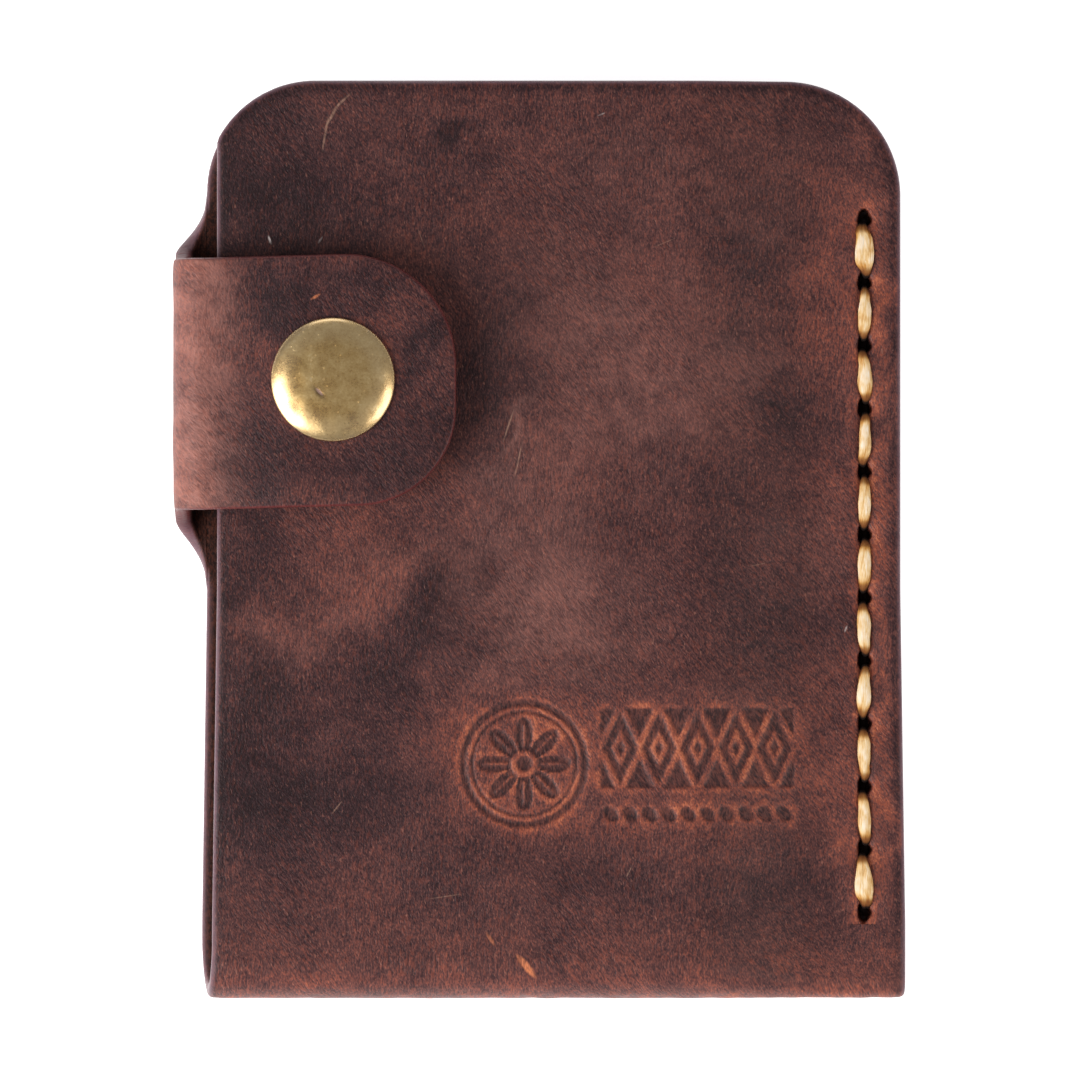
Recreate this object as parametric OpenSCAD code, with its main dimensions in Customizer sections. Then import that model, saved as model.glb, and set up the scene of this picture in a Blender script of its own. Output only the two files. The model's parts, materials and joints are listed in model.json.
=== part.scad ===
// Card wallet cut from one leather blank, folded at the bottom, saddle stitched down the
// right side and closed by a strap with a snap fastener. It lies on its back: X runs to
// the right, Y to the open top and Z out of the front. Millimetres.

/* [Leather] */
// Thickness of the leather
leather_t = 1.8; // [1.2:0.1:2.2]
// Width of the back panel above its flare
body_w = 70.4; // [66:0.2:76]
// Height of the back panel
body_h = 92.9; // [84:0.5:100]
// How far each side flares out at the bottom fold
side_flare = 0.5; // [0:0.1:1]
// Radius of the top left corner
left_corner_r = 11.1; // [6:0.1:14]
// Radius of the top right corner
right_corner_r = 11.6; // [6:0.1:14]
// How far the front panel's left edge stands back from the back panel's
front_inset = 1.2; // [0.5:0.1:2]
// How far the front panel's top edge stands below the back panel's
front_drop = 0; // [0:0.1:1]

/* [Pocket] */
// Height of the pocket between the two panels
pocket_h = 4.6; // [4.5:0.1:6]
// Length of the bottom fold
fold_len = 7.5; // [6:0.5:7.5]
// Height of the seam margin's underside, so that the stitches clear the table
seam_lift = 0.8; // [0.8:0.1:1]
// Distance along X over which the front panel comes down to the seam margin
seam_slope = 15.8; // [12:0.1:24]

/* [Stitching] */
// Number of stitch holes
hole_count = 12; // [4:1:14]
// Distance from one hole to the next
hole_pitch = 6.39; // [5:0.01:6.4]
// Height of the lowest hole above the bottom fold's outer face
first_hole_y = 8.72; // [8.7:0.01:10]
// Distance of the stitch line from the right edge
stitch_inset = 3.7; // [3.2:0.1:5]
// Radius of a stitch hole
hole_r = 0.85; // [0.8:0.01:1]
// Radius of the thread
thread_r = 0.38; // [0.3:0.01:0.38]

/* [Strap] */
// Width of the strap
strap_w = 25.4; // [20:0.2:28]
// Height of the strap's centre line above the bottom
strap_y = 62.2; // [56:0.1:64]
// Distance from the back panel's left edge to the strap's tip
strap_reach = 25.4; // [23:0.1:32]
// Outer radius of the strap's two bends
bend_r = 3.2; // [2.8:0.1:3.4]
// Radius of the fillet above the strap's root
upper_fillet_r = 6.9; // [6:0.1:7]
// Radius of the fillet below the strap's root
lower_fillet_r = 8.2; // [6:0.1:9]
// Radius of the tip's upper corner
upper_tip_r = 11.5; // [8:0.1:12]
// Radius of the tip's lower corner
lower_tip_r = 9.6; // [8:0.1:12]
// Space between the front panel and the closed strap
snap_gap = 2.4; // [2.4:0.1:3]

/* [Snap] */
// Distance of the snap's centre from the back panel's left edge
snap_x = 13.0; // [12:0.1:14]
// Height of the snap's centre above the bottom
snap_y = 62.6; // [56:0.1:66]
// Diameter of the cap
cap_d = 12.5; // [11:0.1:13]
// Height of the cap's dome
cap_h = 1.5; // [1.2:0.1:2]
// Thickness of the pressed brass
sheet_t = 0.35; // [0.3:0.01:0.4]
// Radius of the holes punched for the two posts
post_hole_r = 1.3; // [1.28:0.01:1.35]

/* [Hidden] */

leather_brown = "#5f4041";
thread_cream = "#dcb486";
aged_brass = "#8f7548";
spring_steel = "#8d8d8a";

// Heights of the layers
back_top_z = leather_t;
front_in_z = leather_t + pocket_h;
front_out_z = front_in_z + leather_t;
flap_in_z = front_out_z + snap_gap;
flap_out_z = flap_in_z + leather_t;
seam_gap = 0.04;
seam_front_in_z = seam_lift + leather_t + seam_gap;

// Places along X
stitch_x = body_w - stitch_inset;
seam_flat_x = stitch_x - 2.9;
slope_start_x = seam_flat_x - seam_slope;
back_rise_start_x = seam_flat_x - 4;

// The strap's two bends turn about lines along Y at x = 0
bend_in_r = bend_r - leather_t;
bend_mid_r = (bend_r + bend_in_r) / 2;
lower_bend_z = bend_r;
upper_bend_z = flap_out_z - bend_r;
quarter_len = bend_mid_r * PI / 2;
riser_len = upper_bend_z - lower_bend_z;

// The frame's origin is the middle of the whole object, on the table
centre_x = (body_w + side_flare - bend_r) / 2;
centre_y = body_h / 2;

post_r = 1.25;
bore_r = 0.9;
eps = 0.02;

// Eases from 0 to 1 as x goes from a to b
function ease(x, a, b) =
    let (u = min(1, max(0, (x - a) / (b - a)))) u * u * (3 - 2 * u);

function mix(a, b, u) = a + (b - a) * u;

// Underside of the back panel, underside and face of the front panel, at a place along X
function back_z(x) = seam_lift * ease(x, back_rise_start_x, seam_flat_x);
function front_z(x) = mix(front_in_z, seam_front_in_z, ease(x, slope_start_x, seam_flat_x));

// Places along X at which the panels' section bends, from left to right
slope_steps = 20;
function section_xs(left, right) = concat(
    [left],
    [for (i = [0:slope_steps]) mix(slope_start_x, seam_flat_x, i / slope_steps)],
    [right]);

// Moves a sub-part from the blank's own corner to the frame's origin
module placed() {
    translate([-centre_x, -centre_y, 0])
        children();
}

// Upright outline with a straight foot, sides that flare below the strap's root, and two
// rounded top corners. The left edge may stand back: it then cuts through the corner.
module panel_outline(left, top) {
    flare_y = strap_y - strap_w / 2 - lower_fillet_r;
    intersection() {
        union() {
            polygon([
                [-side_flare, fold_len],
                [body_w + side_flare, fold_len],
                [body_w, flare_y],
                [body_w, top - right_corner_r],
                [body_w - right_corner_r, top - right_corner_r],
                [body_w - right_corner_r, top],
                [left_corner_r, top],
                [left_corner_r, top - left_corner_r],
                [0, top - left_corner_r],
                [0, flare_y],
            ]);
            translate([left_corner_r, top - left_corner_r])
                circle(r = left_corner_r, $fn = 96);
            translate([body_w - right_corner_r, top - right_corner_r])
                circle(r = right_corner_r, $fn = 96);
        }
        polygon([
            [left - side_flare, fold_len],
            [body_w + side_flare, fold_len],
            [body_w + side_flare, top],
            [left, top],
            [left, flare_y],
        ]);
    }
}

// A section of the leather across X, given by its lower and upper heights, run along Y
module leather_section(lower, upper) {
    translate([0, body_h + 1, 0])
        rotate([90, 0, 0])
            linear_extrude(body_h + 2)
                polygon(concat(lower, [for (i = [len(upper) - 1:-1:0]) upper[i]]));
}

module stitch_holes() {
    for (i = [0:hole_count - 1])
        translate([stitch_x, first_hole_y + i * hole_pitch, -1])
            cylinder(r = hole_r, h = front_out_z, $fn = 32);
}

module back_panel() {
    xs = section_xs(-2 * side_flare, body_w + 2 * side_flare);
    color(leather_brown)
        placed()
            difference() {
                intersection() {
                    leather_section([for (x = xs) [x, back_z(x)]],
                                    [for (x = xs) [x, back_z(x) + leather_t]]);
                    linear_extrude(front_out_z)
                        panel_outline(0, body_h);
                }
                stitch_holes();
            }
}

module front_panel() {
    xs = section_xs(-side_flare, body_w + 2 * side_flare);
    recess_r = 4.05;
    recess_t = 0.3;
    color(leather_brown)
        placed()
            difference() {
                intersection() {
                    leather_section([for (x = xs) [x, front_z(x)]],
                                    [for (x = xs) [x, front_z(x) + leather_t]]);
                    linear_extrude(front_out_z + 1)
                        panel_outline(front_inset, body_h - front_drop);
                }
                stitch_holes();
                translate([snap_x, snap_y, front_in_z - 1])
                    cylinder(r = recess_r, h = recess_t + 1, $fn = 48);
                translate([snap_x, snap_y, front_in_z])
                    cylinder(r = post_hole_r, h = leather_t + 1, $fn = 48);
            }
}

// The fold is a row of U sections. Each turns about a point half its height from the
// bottom, so the U is tall over the pocket and tight in the seam margin. Its left end
// slants from the back panel's edge to the front panel's.
module bottom_fold() {
    turn_steps = 16;
    left_xs = section_xs(0, body_w + side_flare);
    stations = len(left_xs);
    function fold_point(x, wall, v) =
        let (low = back_z(x),
             r = (front_z(x) + leather_t - low) / 2,
             a = 180 * v)
        [x, r - (r - wall) * sin(a), low + r - (r - wall) * cos(a)];
    function end_x(i, v) = i > 0 ? left_xs[i] : mix(-side_flare, front_inset - side_flare, v);
    function fold_ring(i) =
        let (x = left_xs[i],
             low = back_z(x),
             high = front_z(x) + leather_t)
        concat(
            [[end_x(i, 0), fold_len, low]],
            [for (k = [0:turn_steps])
                let (v = k / turn_steps, p = fold_point(x, 0, v)) [end_x(i, v), p.y, p.z]],
            [[end_x(i, 1), fold_len, high]],
            [[end_x(i, 1), fold_len, high - leather_t]],
            [for (k = [turn_steps:-1:0])
                let (v = k / turn_steps, p = fold_point(x, leather_t, v))
                    [end_x(i, v), p.y, p.z]],
            [[end_x(i, 0), fold_len, low + leather_t]]);
    color(leather_brown)
        placed()
            lofted([for (i = [0:stations - 1]) fold_ring(i)]);
}

// Closed solid through a row of rings with the same even number of points. Each end is
// closed by a strip between the ring's first half and its second.
module lofted(rings) {
    n = len(rings[0]);
    last = (len(rings) - 1) * n;
    polyhedron(
        points = [for (ring = rings) each ring],
        faces = concat(
            [for (k = [0:n / 2 - 2])
                each [[k, k + 1, n - 1 - k], [k + 1, n - 2 - k, n - 1 - k]]],
            [for (i = [0:len(rings) - 2]) for (k = [0:n - 1])
                each [[i * n + k, (i + 1) * n + k, i * n + (k + 1) % n],
                      [i * n + (k + 1) % n, (i + 1) * n + k, (i + 1) * n + (k + 1) % n]]],
            [for (k = [0:n / 2 - 2])
                each [[last + k, last + n - 1 - k, last + k + 1],
                      [last + k + 1, last + n - 1 - k, last + n - 2 - k]]]),
        convexity = 6);
}

// Half width of the strap above or below its centre line, s along the leather from the
// back panel's edge: a concave fillet first, then the plain width
function strap_half(s, fillet) =
    strap_w / 2 + (s < fillet ? fillet - sqrt(fillet * fillet - pow(fillet - s, 2)) : 0);

// Point [x, z] on the strap at s along the leather, out by d from its middle layer
function strap_point(s, d) =
    s < quarter_len
    ? let (a = s / bend_mid_r * 180 / PI)
        [-(bend_mid_r + d) * sin(a), lower_bend_z - (bend_mid_r + d) * cos(a)]
    : s < quarter_len + riser_len
    ? [-bend_mid_r - d, lower_bend_z + s - quarter_len]
    : let (a = (s - quarter_len - riser_len) / bend_mid_r * 180 / PI)
        [-(bend_mid_r + d) * cos(a), upper_bend_z + (bend_mid_r + d) * sin(a)];

// The stretch of strap between two places along the leather
module strap_stretch(from, to, steps) {
    lofted([for (i = [0:steps])
        let (s = mix(from, to, i / steps),
             high = strap_y + strap_half(s, upper_fillet_r),
             low = strap_y - strap_half(s, lower_fillet_r),
             outer = strap_point(s, leather_t / 2),
             inner = strap_point(s, -leather_t / 2))
        [[inner[0], low, inner[1]], [inner[0], high, inner[1]],
         [outer[0], high, outer[1]], [outer[0], low, outer[1]]]]);
}

module strap_root() {
    color(leather_brown)
        placed()
            strap_stretch(0, quarter_len / 2, 10);
}

module strap_riser() {
    color(leather_brown)
        placed()
            strap_stretch(quarter_len / 2, quarter_len * 1.5 + riser_len, 30);
}

module strap_flap() {
    color(leather_brown)
        placed()
            difference() {
                union() {
                    translate([0, strap_y + strap_w / 2, upper_bend_z])
                        rotate([90, 0, 0])
                            rotate([0, 0, 90])
                                rotate_extrude(angle = 45, $fn = 96)
                                    translate([bend_in_r, 0])
                                        square([leather_t, strap_w]);
                    translate([0, 0, flap_in_z])
                        linear_extrude(leather_t)
                            flap_outline();
                }
                translate([snap_x, snap_y, flap_in_z - 1])
                    cylinder(r = post_hole_r, h = leather_t + 2, $fn = 48);
            }
}

module flap_outline() {
    low = strap_y - strap_w / 2;
    high = strap_y + strap_w / 2;
    polygon([
        [0, low],
        [strap_reach - lower_tip_r, low],
        [strap_reach - lower_tip_r, low + lower_tip_r],
        [strap_reach, low + lower_tip_r],
        [strap_reach, high - upper_tip_r],
        [strap_reach - upper_tip_r, high - upper_tip_r],
        [strap_reach - upper_tip_r, high],
        [0, high],
    ]);
    translate([strap_reach - lower_tip_r, low + lower_tip_r])
        circle(r = lower_tip_r, $fn = 96);
    translate([strap_reach - upper_tip_r, high - upper_tip_r])
        circle(r = upper_tip_r, $fn = 96);
}

// Saddle stitching: two needles pass through every hole side by side, and take turns to
// lie on the front. The second needle also goes back over the first and last stitch.
lane = 0.42;
stitch_front_z = seam_front_in_z + leather_t + thread_r + eps;
stitch_back_z = seam_lift - thread_r - eps;
function hole_y(i) = first_hole_y + i * hole_pitch;

// Points [y, z] of one needle's thread, from hole a to hole b, starting on the front if
// up is true and on the back if it isn't
function stitch_path(a, b, up) =
    let (step = a < b ? 1 : -1)
    [for (i = [a:step:b])
        let (front = (abs(i - a) % 2 == 0) == up,
             arrive = front ? stitch_back_z : stitch_front_z,
             leave = front ? stitch_front_z : stitch_back_z)
        each [[hole_y(i), arrive], [hole_y(i), leave]]];

// Tube of the thread's radius round a path of [y, z] points at a place along X
module thread_tube(x, path) {
    sides = 10;
    n = len(path);
    function unit(v) = v / norm(v);
    function turn(v) = [-v[1], v[0]];
    function side_at(i) =
        let (before = i > 0 ? unit(path[i] - path[i - 1]) : unit(path[1] - path[0]),
             after = i < n - 1 ? unit(path[i + 1] - path[i]) : before,
             across = unit(turn(before) + turn(after)))
        across / (across * turn(before));
    lofted([for (i = [0:n - 1])
        let (across = side_at(i))
        [for (k = [0:sides - 1])
            let (a = 360 * k / sides, c = thread_r * cos(a))
            [x + thread_r * sin(a), path[i][0] + c * across[0], path[i][1] + c * across[1]]]]);
}

module thread_first_needle() {
    path = stitch_path(0, hole_count - 1, true);
    color(thread_cream)
        placed()
            thread_tube(stitch_x - lane, path);
}

module thread_second_needle() {
    tail = 1.2;
    last = hole_count - 1;
    path = concat(
        [[hole_y(1) - tail, stitch_front_z], [hole_y(0), stitch_front_z]],
        [for (p = stitch_path(0, last, false)) if (p != [hole_y(0), stitch_front_z]) p],
        [[hole_y(last - 1) + tail, stitch_front_z]]);
    color(thread_cream)
        placed()
            thread_tube(stitch_x + lane, path);
}

// Turns a profile of [radius, height] points about the snap's axis
module snap_turned(profile, metal) {
    color(metal)
        placed()
            translate([snap_x, snap_y, 0])
                rotate_extrude($fn = 96)
                    polygon(profile);
}

// The cap is a domed shell, flat in the middle and rounded quickly at its rim
module snap_cap() {
    foot_z = flap_out_z + eps;
    steps = 24;
    function dome(k, inset) =
        let (a = 90 * k / steps, r = cap_d / 2 - inset, h = cap_h - eps - inset)
        [r * pow(cos(a), 0.72), foot_z + h * pow(sin(a), 0.9)];
    snap_turned(concat([for (k = [0:steps]) dome(k, 0)],
                       [for (k = [steps:-1:0]) dome(k, sheet_t)]), aged_brass);
}

// The cap's post: a base disc that the cap is crimped round, and a tube that goes
// through the strap and is rolled over inside the socket
module snap_cap_post() {
    foot_z = flap_out_z + eps;
    disc_r = cap_d / 2 - 1.1;
    roll_r = 1.9;
    roll_z = socket_top_z - 0.3;
    snap_turned([
        [bore_r, roll_z - 0.23],
        [roll_r - 0.2, roll_z - 0.23],
        [roll_r, roll_z - 0.1],
        [roll_r, roll_z],
        [post_r, roll_z],
        [post_r, foot_z],
        [disc_r, foot_z],
        [disc_r, foot_z + sheet_t],
        [bore_r, foot_z + sheet_t],
    ], aged_brass);
}

socket_low_z = front_out_z + 0.65;
socket_top_z = flap_in_z - eps;
spring_z = front_out_z + 0.95;
spring_wire_r = 0.2;

module snap_socket() {
    outer_r = 5;
    mouth_r = 2.45;
    groove_r = 3.35;
    groove_h = spring_wire_r + 0.03;
    ceiling_z = socket_top_z - 0.28;
    snap_turned([
        [mouth_r, socket_low_z],
        [outer_r - 0.6, socket_low_z],
        [outer_r, socket_low_z + 0.5],
        [outer_r, socket_top_z],
        [post_hole_r, socket_top_z],
        [post_hole_r, ceiling_z],
        [mouth_r, ceiling_z],
        [mouth_r, spring_z + groove_h],
        [groove_r, spring_z + groove_h],
        [groove_r, spring_z - groove_h],
        [mouth_r, spring_z - groove_h],
    ], aged_brass);
}

// Hairpin of spring wire whose two legs grip the stud's neck
module snap_socket_spring() {
    grip_x = 1.95;
    leg_len = 3;
    turn_y = 0.8;
    color(spring_steel)
        placed()
            translate([snap_x, snap_y + turn_y, spring_z]) {
                rotate_extrude(angle = 180, $fn = 64)
                    translate([grip_x, 0])
                        circle(r = spring_wire_r, $fn = 24);
                for (side = [-1, 1])
                    translate([side * grip_x, 0, 0])
                        rotate([90, 0, 0])
                            cylinder(r = spring_wire_r, h = leg_len, $fn = 24);
            }
}

// The stud: a flange on the front panel, a neck that the spring grips and a round head
module snap_stud() {
    foot_z = front_out_z + eps;
    flange_r = 4.4;
    neck_r = 1.7;
    head_r = 2.05;
    head_top_z = front_out_z + 1.75;
    snap_turned([
        [post_hole_r, foot_z],
        [flange_r, foot_z],
        [flange_r, foot_z + 0.2],
        [flange_r - 0.7, foot_z + 0.45],
        [neck_r, foot_z + 0.5],
        [neck_r, spring_z + spring_wire_r],
        [head_r, spring_z + spring_wire_r + 0.15],
        [head_r, head_top_z - 0.25],
        [head_r - 0.3, head_top_z - 0.05],
        [0, head_top_z],
        [0, head_top_z - 0.35],
        [post_hole_r, head_top_z - 0.35],
    ], aged_brass);
}

// The stud's post: a flange pressed into the flesh side and a tube up into the stud
module snap_stud_post() {
    flange_r = 4;
    flange_low_z = front_in_z - 0.3;
    flange_top_z = front_in_z + 0.3 - eps;
    snap_turned([
        [bore_r, flange_low_z],
        [flange_r - 0.4, flange_low_z],
        [flange_r, flange_low_z + 0.2],
        [flange_r, flange_top_z],
        [post_r, flange_top_z],
        [post_r, front_out_z + 1.35],
        [bore_r, front_out_z + 1.35],
    ], aged_brass);
}

back_panel();
bottom_fold();
front_panel();
strap_root();
strap_riser();
strap_flap();
thread_first_needle();
thread_second_needle();
snap_cap();
snap_cap_post();
snap_socket();
snap_socket_spring();
snap_stud();
snap_stud_post();
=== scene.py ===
# %% [markdown]
# # A leather card wallet, piece by piece
# The wallet is one leather blank, folded at the bottom, sewn down the right side and
# closed by a strap with a snap fastener. The packed CAD model is a fixed frame: it says
# where every piece lies and how the strap turns. Here each plain solid is replaced by a
# finished piece, worked out with numpy as a surface over a grid.
#
# Lengths are in millimetres while a shape is worked out, and become metres when its mesh
# is made. X runs to the sewn side, Y to the open top and Z out of the front.

# %% Load the frame
import json
import math

import bpy
import numpy as np
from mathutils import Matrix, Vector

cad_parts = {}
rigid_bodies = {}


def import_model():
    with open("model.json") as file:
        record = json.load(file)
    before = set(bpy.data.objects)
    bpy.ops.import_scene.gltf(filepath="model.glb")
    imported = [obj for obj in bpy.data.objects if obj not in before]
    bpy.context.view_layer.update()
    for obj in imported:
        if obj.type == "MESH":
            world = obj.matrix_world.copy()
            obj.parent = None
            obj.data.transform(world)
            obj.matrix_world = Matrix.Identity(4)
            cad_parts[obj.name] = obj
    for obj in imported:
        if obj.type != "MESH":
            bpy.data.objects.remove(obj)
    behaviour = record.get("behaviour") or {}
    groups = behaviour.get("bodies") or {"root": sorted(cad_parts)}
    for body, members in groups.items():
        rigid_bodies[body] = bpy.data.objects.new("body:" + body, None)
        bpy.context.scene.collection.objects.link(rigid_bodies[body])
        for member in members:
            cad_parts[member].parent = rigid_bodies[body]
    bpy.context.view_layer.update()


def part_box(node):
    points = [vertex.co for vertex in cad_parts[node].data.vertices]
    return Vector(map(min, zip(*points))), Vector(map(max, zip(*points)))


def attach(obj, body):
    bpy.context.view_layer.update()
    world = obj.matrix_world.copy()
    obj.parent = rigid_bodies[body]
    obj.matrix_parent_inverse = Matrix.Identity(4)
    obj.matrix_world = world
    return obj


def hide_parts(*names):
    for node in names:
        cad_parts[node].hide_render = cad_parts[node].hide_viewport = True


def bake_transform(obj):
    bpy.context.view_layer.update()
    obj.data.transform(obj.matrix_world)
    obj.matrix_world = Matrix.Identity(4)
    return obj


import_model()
MM = 0.001

# %% [markdown]
# ## The sizes that everything follows
# Good models hang on few numbers. The frame's boxes give most of them: the edges of the
# panels, the stitch line, the bends and the snap. The rest are sizes a box can't show,
# such as the leather's thickness and the radii of its corners.

# %% Read the sizes from the frame


def box_mm(node):
    """Lowest and highest corner of a CAD node, in millimetres."""
    low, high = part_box(node)
    return np.array(low) / MM, np.array(high) / MM


LEATHER = 1.8      # thickness of the hide
FLARE = 0.5        # how far each side stands out at the fold
EDGE = 0.8         # how far in a cut edge is rounded
SEAM_SLOPE = 15.8  # length over which the front comes down to the seam
HOLES = 12         # stitch holes
HOLE_R = 0.8       # radius of a stitch hole

_, back_high = box_mm("back_panel")
front_low, front_high = box_mm("front_panel")
fold_low, fold_high = box_mm("bottom_fold")
root_low, root_high = box_mm("strap_root")
side_low, _ = box_mm("strap_riser")
flap_low, flap_high = box_mm("strap_flap")
first_low, first_high = box_mm("thread_first_needle")
_, second_high = box_mm("thread_second_needle")
cap_low, cap_high = box_mm("snap_cap")

left_x = root_high[0]
right_x = front_high[0] - FLARE
front_left_x = front_low[0] + FLARE
bottom_y, fold_y = fold_low[1], fold_high[1]
back_top_y, front_top_y = back_high[1], front_high[1]
front_z = front_high[2]
thread_r = (first_high[0] - first_low[0]) / 2
stitch_x = (first_low[0] + second_high[0]) / 2
first_hole = first_low[1] + thread_r
hole_pitch = (first_high[1] - thread_r - first_hole) / (HOLES - 1)
seam_top_z = first_high[2] - 2 * thread_r
seam_low_z = seam_top_z - 2 * LEATHER
snap_x, snap_y = (cap_low[:2] + cap_high[:2]) / 2
cap_r = (cap_high[0] - cap_low[0]) / 2
cap_foot_z, cap_top_z = cap_low[2], cap_high[2]
bend_r = left_x - side_low[0]
flap_z = flap_high[2]
strap_y = (flap_low[1] + flap_high[1]) / 2
strap_w = flap_high[1] - flap_low[1]
tip_x = flap_high[0]
print("panel", right_x - left_x, "x", back_top_y - bottom_y, "pitch", round(hole_pitch, 3))

# %% [markdown]
# ## The camera
# The wallet is seen from straight above, as a product is shot on a table. A camera close
# by would show the sides of the leather lean outwards. A long lens from far away keeps
# them upright, and the lens follows from how wide a strip of the table it has to see.

# %% Camera
VIEW_WIDTH = 109.1
VIEW_DISTANCE = 1200.0
SENSOR = 36.0

camera_data = bpy.data.cameras.new("camera")
camera_data.sensor_width = SENSOR
camera_data.lens = SENSOR * VIEW_DISTANCE / VIEW_WIDTH
camera_data.clip_end = 10.0
camera = bpy.data.objects.new("camera", camera_data)
camera.location = (0, 0, (VIEW_DISTANCE + front_z) * MM)
bpy.context.scene.collection.objects.link(camera)
bpy.context.scene.camera = camera
bpy.context.scene.view_settings.view_transform = "Standard"
print("camera", VIEW_DISTANCE, "mm above the front, lens", round(camera_data.lens), "mm")

# %% [markdown]
# ## The light
# Metal shows what surrounds it, so the lights are placed for the snap's cap first. Two
# big soft ones stand low at the left and the right, nearer to the viewer's side, and put
# the two bright crescents on it. A weak third one behind the wallet's top lights the
# upper edges. Nothing shines from overhead, because the flat cap would mirror it: there
# the dim even sky of the studio fills in.

# %% Lights


def soft_light(name, place, size, watts, colour=(1, 1, 1)):
    """A rectangular area light at a place, turned to face the wallet, with its width and
    height in millimetres."""
    data = bpy.data.lights.new(name, "AREA")
    data.shape = "RECTANGLE"
    data.size, data.size_y = size[0] * MM, size[1] * MM
    data.energy = watts
    data.color = colour
    lamp = bpy.data.objects.new(name, data)
    lamp.location = [c * MM for c in place]
    lamp.rotation_euler = (-Vector(place)).to_track_quat("-Z", "Y").to_euler()
    bpy.context.scene.collection.objects.link(lamp)
    return lamp


soft_light("window_left", (-412, -195, 268), (400, 540), 4.1, (1.0, 0.98, 0.96))
soft_light("window_right", (412, -200, 250), (300, 420), 1.3, (1.0, 0.95, 0.90))
soft_light("window_back", (-60, 460, 120), (260, 160), 0.22, (0.95, 0.97, 1.0))

SKY = 0.30
world = bpy.data.worlds.new("studio")
world.use_nodes = True
background = world.node_tree.nodes["Background"]
background.inputs["Color"].default_value = (0.96, 0.97, 1.0, 1)
background.inputs["Strength"].default_value = SKY
bpy.context.scene.world = world
print("lights:", len(bpy.data.lights), "and a sky of strength", SKY)

# %% [markdown]
# ## Three helpers for every curved shape
# `ease` is the S-curve that joins one height to another without a kink, and `bell` is a
# soft bump about a middle. `ripple` is a smooth random field made of a few plane waves:
# real leather is never quite flat, and a field that is a formula gives the same hide on
# every run.

# %% Ease, bell and ripple


def ease(x, start, end):
    """0 before start, 1 after end, and u*u*(3 - 2u) between, where u is the share passed."""
    u = np.clip((x - start) / (end - start), 0, 1)
    return u * u * (3 - 2 * u)


def bell(x, width, middle=0.0):
    """1 at the middle, falling off on both sides as exp(-((x - middle) / width)^2)."""
    return np.exp(-(((x - middle) / width) ** 2))


def ripple(x, y, size, seed, waves=18):
    """The mean of cosines of x and y with random directions and wavelengths near size."""
    random = np.random.default_rng(seed)
    angle = random.uniform(0, math.pi, waves)
    length = size * random.uniform(0.6, 1.7, waves)
    phase = random.uniform(0, 2 * math.pi, waves)
    total = np.zeros(np.broadcast(x, y).shape)
    for a, l, p in zip(angle, length, phase):
        total += np.cos((x * math.cos(a) + y * math.sin(a)) * 2 * math.pi / l + p)
    return total / math.sqrt(waves)


print("ease a quarter of the way:", ease(0.25, 0, 1), "bell one width out:", round(bell(1, 1), 3))

# %% [markdown]
# ## Patches
# Waxed leather is never one colour. Darker patches are full of oil, a few dark ones are painted
# shadow, and paler streaks are where it was bent. They are laid on one by one: each one is a soft
# oval with a place, two half sizes, a turn in degrees and a strength.

# %% Patches


def patches(x, y, ovals):
    """The sum of ovals, strength * exp(-(u/a)^2 - (v/b)^2), with u and v turned, and with
    an edge that wanders a little."""
    wander_x = x + 1.3 * ripple(x, y, 9, 11) + 0.5 * ripple(x, y, 3, 13)
    wander_y = y + 1.3 * ripple(x, y, 9, 12) + 0.5 * ripple(x, y, 3, 14)
    total = np.zeros(np.shape(x))
    for cx, cy, a, b, turn, strength in ovals:
        c, s = math.cos(math.radians(turn)), math.sin(math.radians(turn))
        u = (wander_x - cx) * c + (wander_y - cy) * s
        v = (wander_y - cy) * c - (wander_x - cx) * s
        total += strength * bell(u, a) * bell(v, b)
    return total


sample = patches(np.zeros(1), np.zeros(1), [(0, 0, 5, 5, 0, 1.0)])
print("one oval of strength 1, near its middle:", sample.round(2))

# %% [markdown]
# ## Where the mesh is fine and where it is coarse
# A punched hole needs a vertex every 0.15 mm, and plain leather only every half
# millimetre. `graded` spaces a row of positions by the zones they pass through, so one
# regular grid has detail only where there is something to show. `rimmed` adds the close
# rows that round off an edge.

# %% Graded positions
RULER_MARKS = 6001
RIM_CROWDING = 1.9


def graded(start, end, coarse, zones=()):
    """Positions from start to end, spaced coarse apart, or as a zone (low, high, step) says."""
    ruler = np.linspace(start, end, RULER_MARKS)
    step = np.full(len(ruler), float(coarse))
    for low, high, fine in zones:
        step = np.where((ruler >= low) & (ruler <= high), np.minimum(step, fine), step)
    count = np.concatenate([[0], np.cumsum(np.diff(ruler) / step[:-1])])
    return np.interp(np.linspace(0, count[-1], math.ceil(count[-1]) + 1), count, ruler)


def rimmed(start, end, coarse, zones=(), rims=(True, True), rim_rows=7):
    """Graded positions, with rows that crowd towards each end that has a rounded rim."""
    rim = EDGE * (np.arange(rim_rows) / rim_rows) ** RIM_CROWDING
    low = start + EDGE * rims[0]
    high = end - EDGE * rims[1]
    parts = [start + rim] if rims[0] else []
    parts.append(graded(low, high, coarse, zones))
    parts += [end - rim[::-1]] if rims[1] else []
    return np.concatenate(parts)


spaced = graded(0, 10, 0.5, [(4, 6, 0.15)])
print("10 mm at 0.5 mm, and at 0.15 mm over a hole:", len(spaced), "positions")

# %% [markdown]
# ## The edge of the leather
# A cut edge is sanded and rubbed with a wooden stick until it is round and shiny. It
# could be a bevel, but a bevel gives every edge the same few facets. Here the thickness
# at a point follows its distance from the cut edge, as a rounded box does, so the two
# faces of the hide meet along the middle of the edge. Next to it the grain is worn low.

# %% Rounded edge
EDGE_ROUNDNESS = 2.6


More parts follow.
